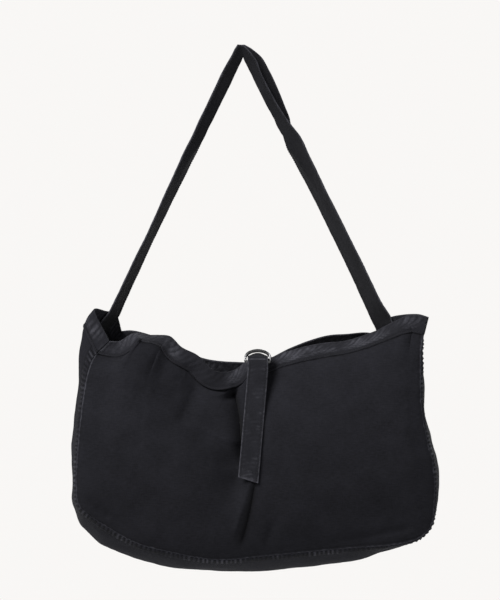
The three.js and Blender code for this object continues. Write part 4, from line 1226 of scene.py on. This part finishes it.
def settle(start, floor, length):
    """A distance off the cloth that goes from one value to another over a length below the bars."""
    return lambda down: lerp(start, floor, smooth((down - RING_SEAT) / length))


front_profile = under_tab(front_seam, FRONT_MOUTH, FRONT_FOLDS, -1, TAB_TAIL + HEM_WIDTH, FRONT_SEED)
back_profile = under_tab(back_seam, BACK_MOUTH, BACK_FOLDS, 1, TAB_SEWN + HEM_WIDTH, BACK_SEED)
front_rim, back_rim = front_profile[0], back_profile[0]
uphill = unit((front_rim - front_profile[6]) * [0, 1, 1])
off_hem = np.array([0, -uphill[2], uphill[1]])
ring_up = np.array([0, math.cos(math.radians(RING_TILT)), math.sin(math.radians(RING_TILT))])
ring_off = np.array([0, -ring_up[2], ring_up[1]])
keeper_floor = HEM / 2 + MARGIN + GAP + KEEPER / 2
keeper_bend = RING_WIRE / 2 + GAP + KEEPER / 2
lower_bar = front_rim - uphill * RING_SEAT + off_hem * (keeper_floor + keeper_bend)
upper_bar = lower_bar + ring_off * (RING_WIRE + GAP)
on_bars = keeper_bend + KEEPER / 2 + MARGIN + TAB / 2
upper_height = (upper_bar - front_rim) @ off_hem


def steel_finish():
    """Plated steel wire, bright, with fine scratches from the strap that slides through it."""
    finish = Finish("ring steel")
    spot = finish.node("ShaderNodeTexCoord", {}, {}, "Object")
    scratches = finish.noise(finish.scaled(spot, (300, 2600, 2600)), 1.0, 3, 0.6)
    haze = finish.noise(spot, 260, 3, 0.6)
    bright = 0.75 + 0.5 * haze
    tone = finish.node("ShaderNodeVectorMath", {"operation": "SCALE"}, {0: STEEL_COLOUR, "Scale": bright})
    bump = finish.node("ShaderNodeBump", {}, {"Strength": 0.25, "Distance": 0.00005, "Height": scratches})
    finish.fill(finish.shader, {
        "Base Color": tone,
        "Metallic": 1.0,
        "Roughness": 0.12 + 0.16 * scratches + 0.1 * haze,
        "Normal": bump,
    })
    return finish.material


steel = steel_finish()
half_span = (RING_WIDTH + RING_WIRE) / 2
bow_rise = RING_RISE - RING_LEG
# The bow is bent to three arcs: a tight one at each side and a wide one over the top.
turn_cos, turn_tan = math.cos(math.radians(BOW_TURN)), math.tan(math.radians(BOW_TURN))
flatness = 1 / turn_cos - turn_tan
side_radius = (bow_rise - half_span * flatness) / (1 - flatness)
top_drop = (half_span - side_radius) * turn_tan


def bend_wire(degrees, x, up, bar):
    """Bends on the end of the wire about a point in the plane of the ring."""
    bpy.ops.mesh.spin(
        steps=max(4, round(abs(degrees) / 6)),
        angle=-math.radians(degrees),
        center=tuple(bar + np.array([x, 0, 0]) + ring_up * up),
        axis=tuple(ring_off),
    )


def push_wire(x, up):
    way = tuple(np.array([x, 0, 0]) + ring_up * up)
    bpy.ops.mesh.extrude_region_move(TRANSFORM_OT_translate={"value": way})


for name, bar, node in (
    ("ring_lower_wire", lower_bar, "ring_lower"),
    ("ring_upper_wire", upper_bar, "ring_upper"),
):
    begin = bar + np.array([half_span, 0, 0]) + ring_up * RING_LEG
    bpy.ops.mesh.primitive_circle_add(vertices=20, radius=RING_WIRE / 2, location=tuple(begin))
    ring = bpy.context.object
    ring.name = ring.data.name = name
    ring.rotation_euler = Vector(ring_up).to_track_quat("Z", "Y").to_euler()
    bpy.ops.object.transform_apply(location=True, rotation=True)
    bpy.ops.object.mode_set(mode="EDIT")
    bpy.ops.mesh.select_all(action="SELECT")
    bend_wire(BOW_TURN, half_span - side_radius, RING_LEG, bar)
    bend_wire(180 - 2 * BOW_TURN, 0, RING_LEG - top_drop, bar)
    bend_wire(BOW_TURN, side_radius - half_span, RING_LEG, bar)
    push_wire(0, RING_CORNER - RING_LEG)
    bend_wire(90, RING_CORNER - half_span, RING_CORNER, bar)
    push_wire(2 * (half_span - RING_CORNER), 0)
    bend_wire(90, half_span - RING_CORNER, RING_CORNER, bar)
    push_wire(0, RING_LEG - RING_CORNER)
    bpy.ops.mesh.select_all(action="SELECT")
    bpy.ops.mesh.remove_doubles(threshold=0.00005)
    bpy.ops.mesh.normals_make_consistent(inside=False)
    bpy.ops.object.mode_set(mode="OBJECT")
    finish_piece(ring, steel, [node])
    bpy.ops.object.select_all(action="DESELECT")

KEEPER_ACROSS = shares(16, (0.012, 0.035))
keeper_down, keeper_under = off_path(front_profile, -1, lambda down: keeper_floor)
over_floor = keeper_floor + KEEPER + MARGIN
off_bars = settle(upper_height + keeper_bend, over_floor, KEEPER_DROP - RING_SEAT)
_, keeper_over = off_path(front_profile, -1, off_bars)
sewn_part = (keeper_down > RING_SEAT) & (keeper_down < KEEPER_DROP)
keeper_line = np.concatenate([
    spaced(keeper_under[sewn_part][::-1], 0.004),
    arc(lower_bar, keeper_bend, -off_hem, ring_up, 5),
    arc(upper_bar, keeper_bend, ring_up + 0.3 * ring_off, off_hem - uphill, 5),
    spaced(keeper_over[sewn_part], 0.005)[1:],
])
keeper_line[:, 0] = tab_x
keeper_curve = Curve(keeper_line)
keeper_rows = keeper_curve.along(shares(90, (0.003, 0.008)))
keeper_cloth = Cloth(band(keeper_rows, KEEPER_WIDTH, KEEPER_ACROSS, np.zeros(len(keeper_rows))), 1)
keeper_wear = 0.5 * np.exp(-np.minimum(keeper_cloth.left, keeper_cloth.right) / 0.0013)
ring_keeper = sew(
    "ring_keeper_cloth", keeper_cloth, KEEPER, keeper_wear, strap_finish, ["ring_keeper"])

# Closing strap
# A strip of canvas of two layers, sewn to the back of the mouth. It goes over the mouth and up under the
# bows of both rings, folds over their bars and hangs down the front, where its end is cut a little aslant.
# How deep it is hollow under the bows, and how many degrees its end is cut aslant.
TAB_CUP = 0.0052
TAB_END_SLANT = 12
# The rows of stitches across it, from its end and from its sewn end, and its worn marks.
TAB_END_STITCHES = (0.003, 0.013)
TAB_SEWN_STITCHES = (0.003, 0.026)
TAB_MARKS = 0.0056
TAB_GATHER = 0.0083
# How far below the hanging point a pale line is painted across it, as the highlight on its bend over the
# bars.
TAB_HIGHLIGHT_DROP = 0.4063
TAB_ACROSS = shares(24, (0.01, 0.025))
over_hem = HEM / 2 + MARGIN + TAB / 2
on_panel = CLOTH / 2 + MARGIN + TAB / 2
back_down, back_path = off_path(back_profile, 1, lambda down: over_hem)
tail_down, tail_path = off_path(front_profile, -1, settle(upper_height + on_bars, on_panel, 0.05))
tail = tail_path[(tail_down > RING_SEAT + 0.007) & (tail_down < TAB_TAIL)]
bow = lower_bar + ring_up * RING_RISE
under_bow = bow + np.array([0, 0, -RING_WIRE / 2 - 2 * GAP - TAB / 2])
over_rim = front_rim + np.array([0, 0.001, HEM / 2 + GAP + TAB / 2])
behind = lerp(under_bow, over_rim, 0.5)
in_front = lerp(upper_bar + ring_up * (on_bars + 0.001), under_bow, 0.5)
bends = [
    (spaced(back_path[back_down < TAB_SEWN], 0.008)[::-1], 0),
    (arc(back_rim, over_hem, (0, 0.8, 0.6), (0, -0.35, 0.9), 3), 0),
    ([lerp(over_rim, back_rim + np.array([0, 0, over_hem]), 0.4)], 0),
    ([over_rim], 0),
    ([behind], 0.6 * TAB_CUP),
    ([under_bow], TAB_CUP),
    ([in_front], 0.5 * TAB_CUP),
    (arc(upper_bar, on_bars, ring_up + 0.2 * ring_off, off_hem - 0.9 * uphill, 6), 0),
    (spaced(tail, 0.009), 0),
]
tab_line = np.concatenate([
    np.concatenate([points, np.full((len(points), 1), cup)], 1) for points, cup in bends])
tab_curve = Curve(tab_line)
tab_rows = tab_curve.along(shares(230, (0.0012, 0.003)))
tab_cups = np.maximum(tab_rows[:, 3], 0)
tab_slant = math.tan(math.radians(TAB_END_SLANT))
tab_grid = band(tab_rows[:, :3], TAB_WIDTH, TAB_ACROSS, tab_cups, tab_slant)
tab_cloth = Cloth(tab_grid, 1)
tab_edge = np.minimum(tab_cloth.left, tab_cloth.right)
tab_gather = ripple(tab_cloth.down, TAB_GATHER, 6.0)
tab_seam = near_line(tab_edge - EDGE_STITCH, 0.0008)
tab_patches = np.clip(0.35 + 1.3 * uneven(tab_cloth.points, 0.013, 63.0), 0, 1)
tab_marks = ripple(tab_cloth.down + 0.1 * tab_cloth.across, TAB_MARKS, 9.0, 0.6) * tab_patches
top_row = tab_rows[:, 2].argmax()
highlight_row = top_row + np.argmax(tab_rows[top_row:, 2] < -TAB_HIGHLIGHT_DROP)
tab_bend_highlight = near_line(tab_cloth.down - tab_cloth.down[highlight_row], 0.0011)
tab_push = -0.00035 * tab_seam + 0.0003 * tab_gather * near_line(tab_edge - 0.001, 0.002) + 0.0003 * tab_marks
tab_cloth.push(tab_push + 0.00035 * uneven(tab_cloth.points, 0.03, 60.0))
# A pale line is painted where it bends over the bars, as a highlight, and its lines of stitching are painted
# darker, as shade.
tab_wear_and_painted_light = 1.1 * np.exp(-tab_edge / 0.0014) * (0.6 + 0.5 * tab_gather) - 0.45 * tab_seam + 0.8 * tab_bend_highlight
tab_wear_and_painted_light += 0.8 * np.exp(-tab_cloth.bottom / 0.0012) + 0.06 + 0.32 * tab_marks * smooth(tab_edge / 0.005)
tab_wear_and_painted_light += 0.25 * np.exp(-tab_cloth.bottom / 0.008)
tab_finish = canvas("closing strap canvas", HEM_COLOUR, HEM_WORN_AND_HIGHLIGHT, 0.5)
closing_strap = sew(
    "closing_strap_cloth", tab_cloth, TAB, tab_wear_and_painted_light, tab_finish, ["closing_strap"])
tab_lines = []
for face in (1, -1):
    for edge in ("left", "right"):
        tab_lines.append(tab_cloth.inset(edge, EDGE_STITCH, face * TAB / 2))
    for distance in TAB_END_STITCHES:
        tab_lines.append(tab_cloth.inset("bottom", distance, face * TAB / 2))
for distance in TAB_SEWN_STITCHES:
    tab_lines.append(tab_cloth.inset("top", distance, TAB / 2))
closing_strap_stitches = sew_lines("closing_strap_stitches", tab_lines, thread)
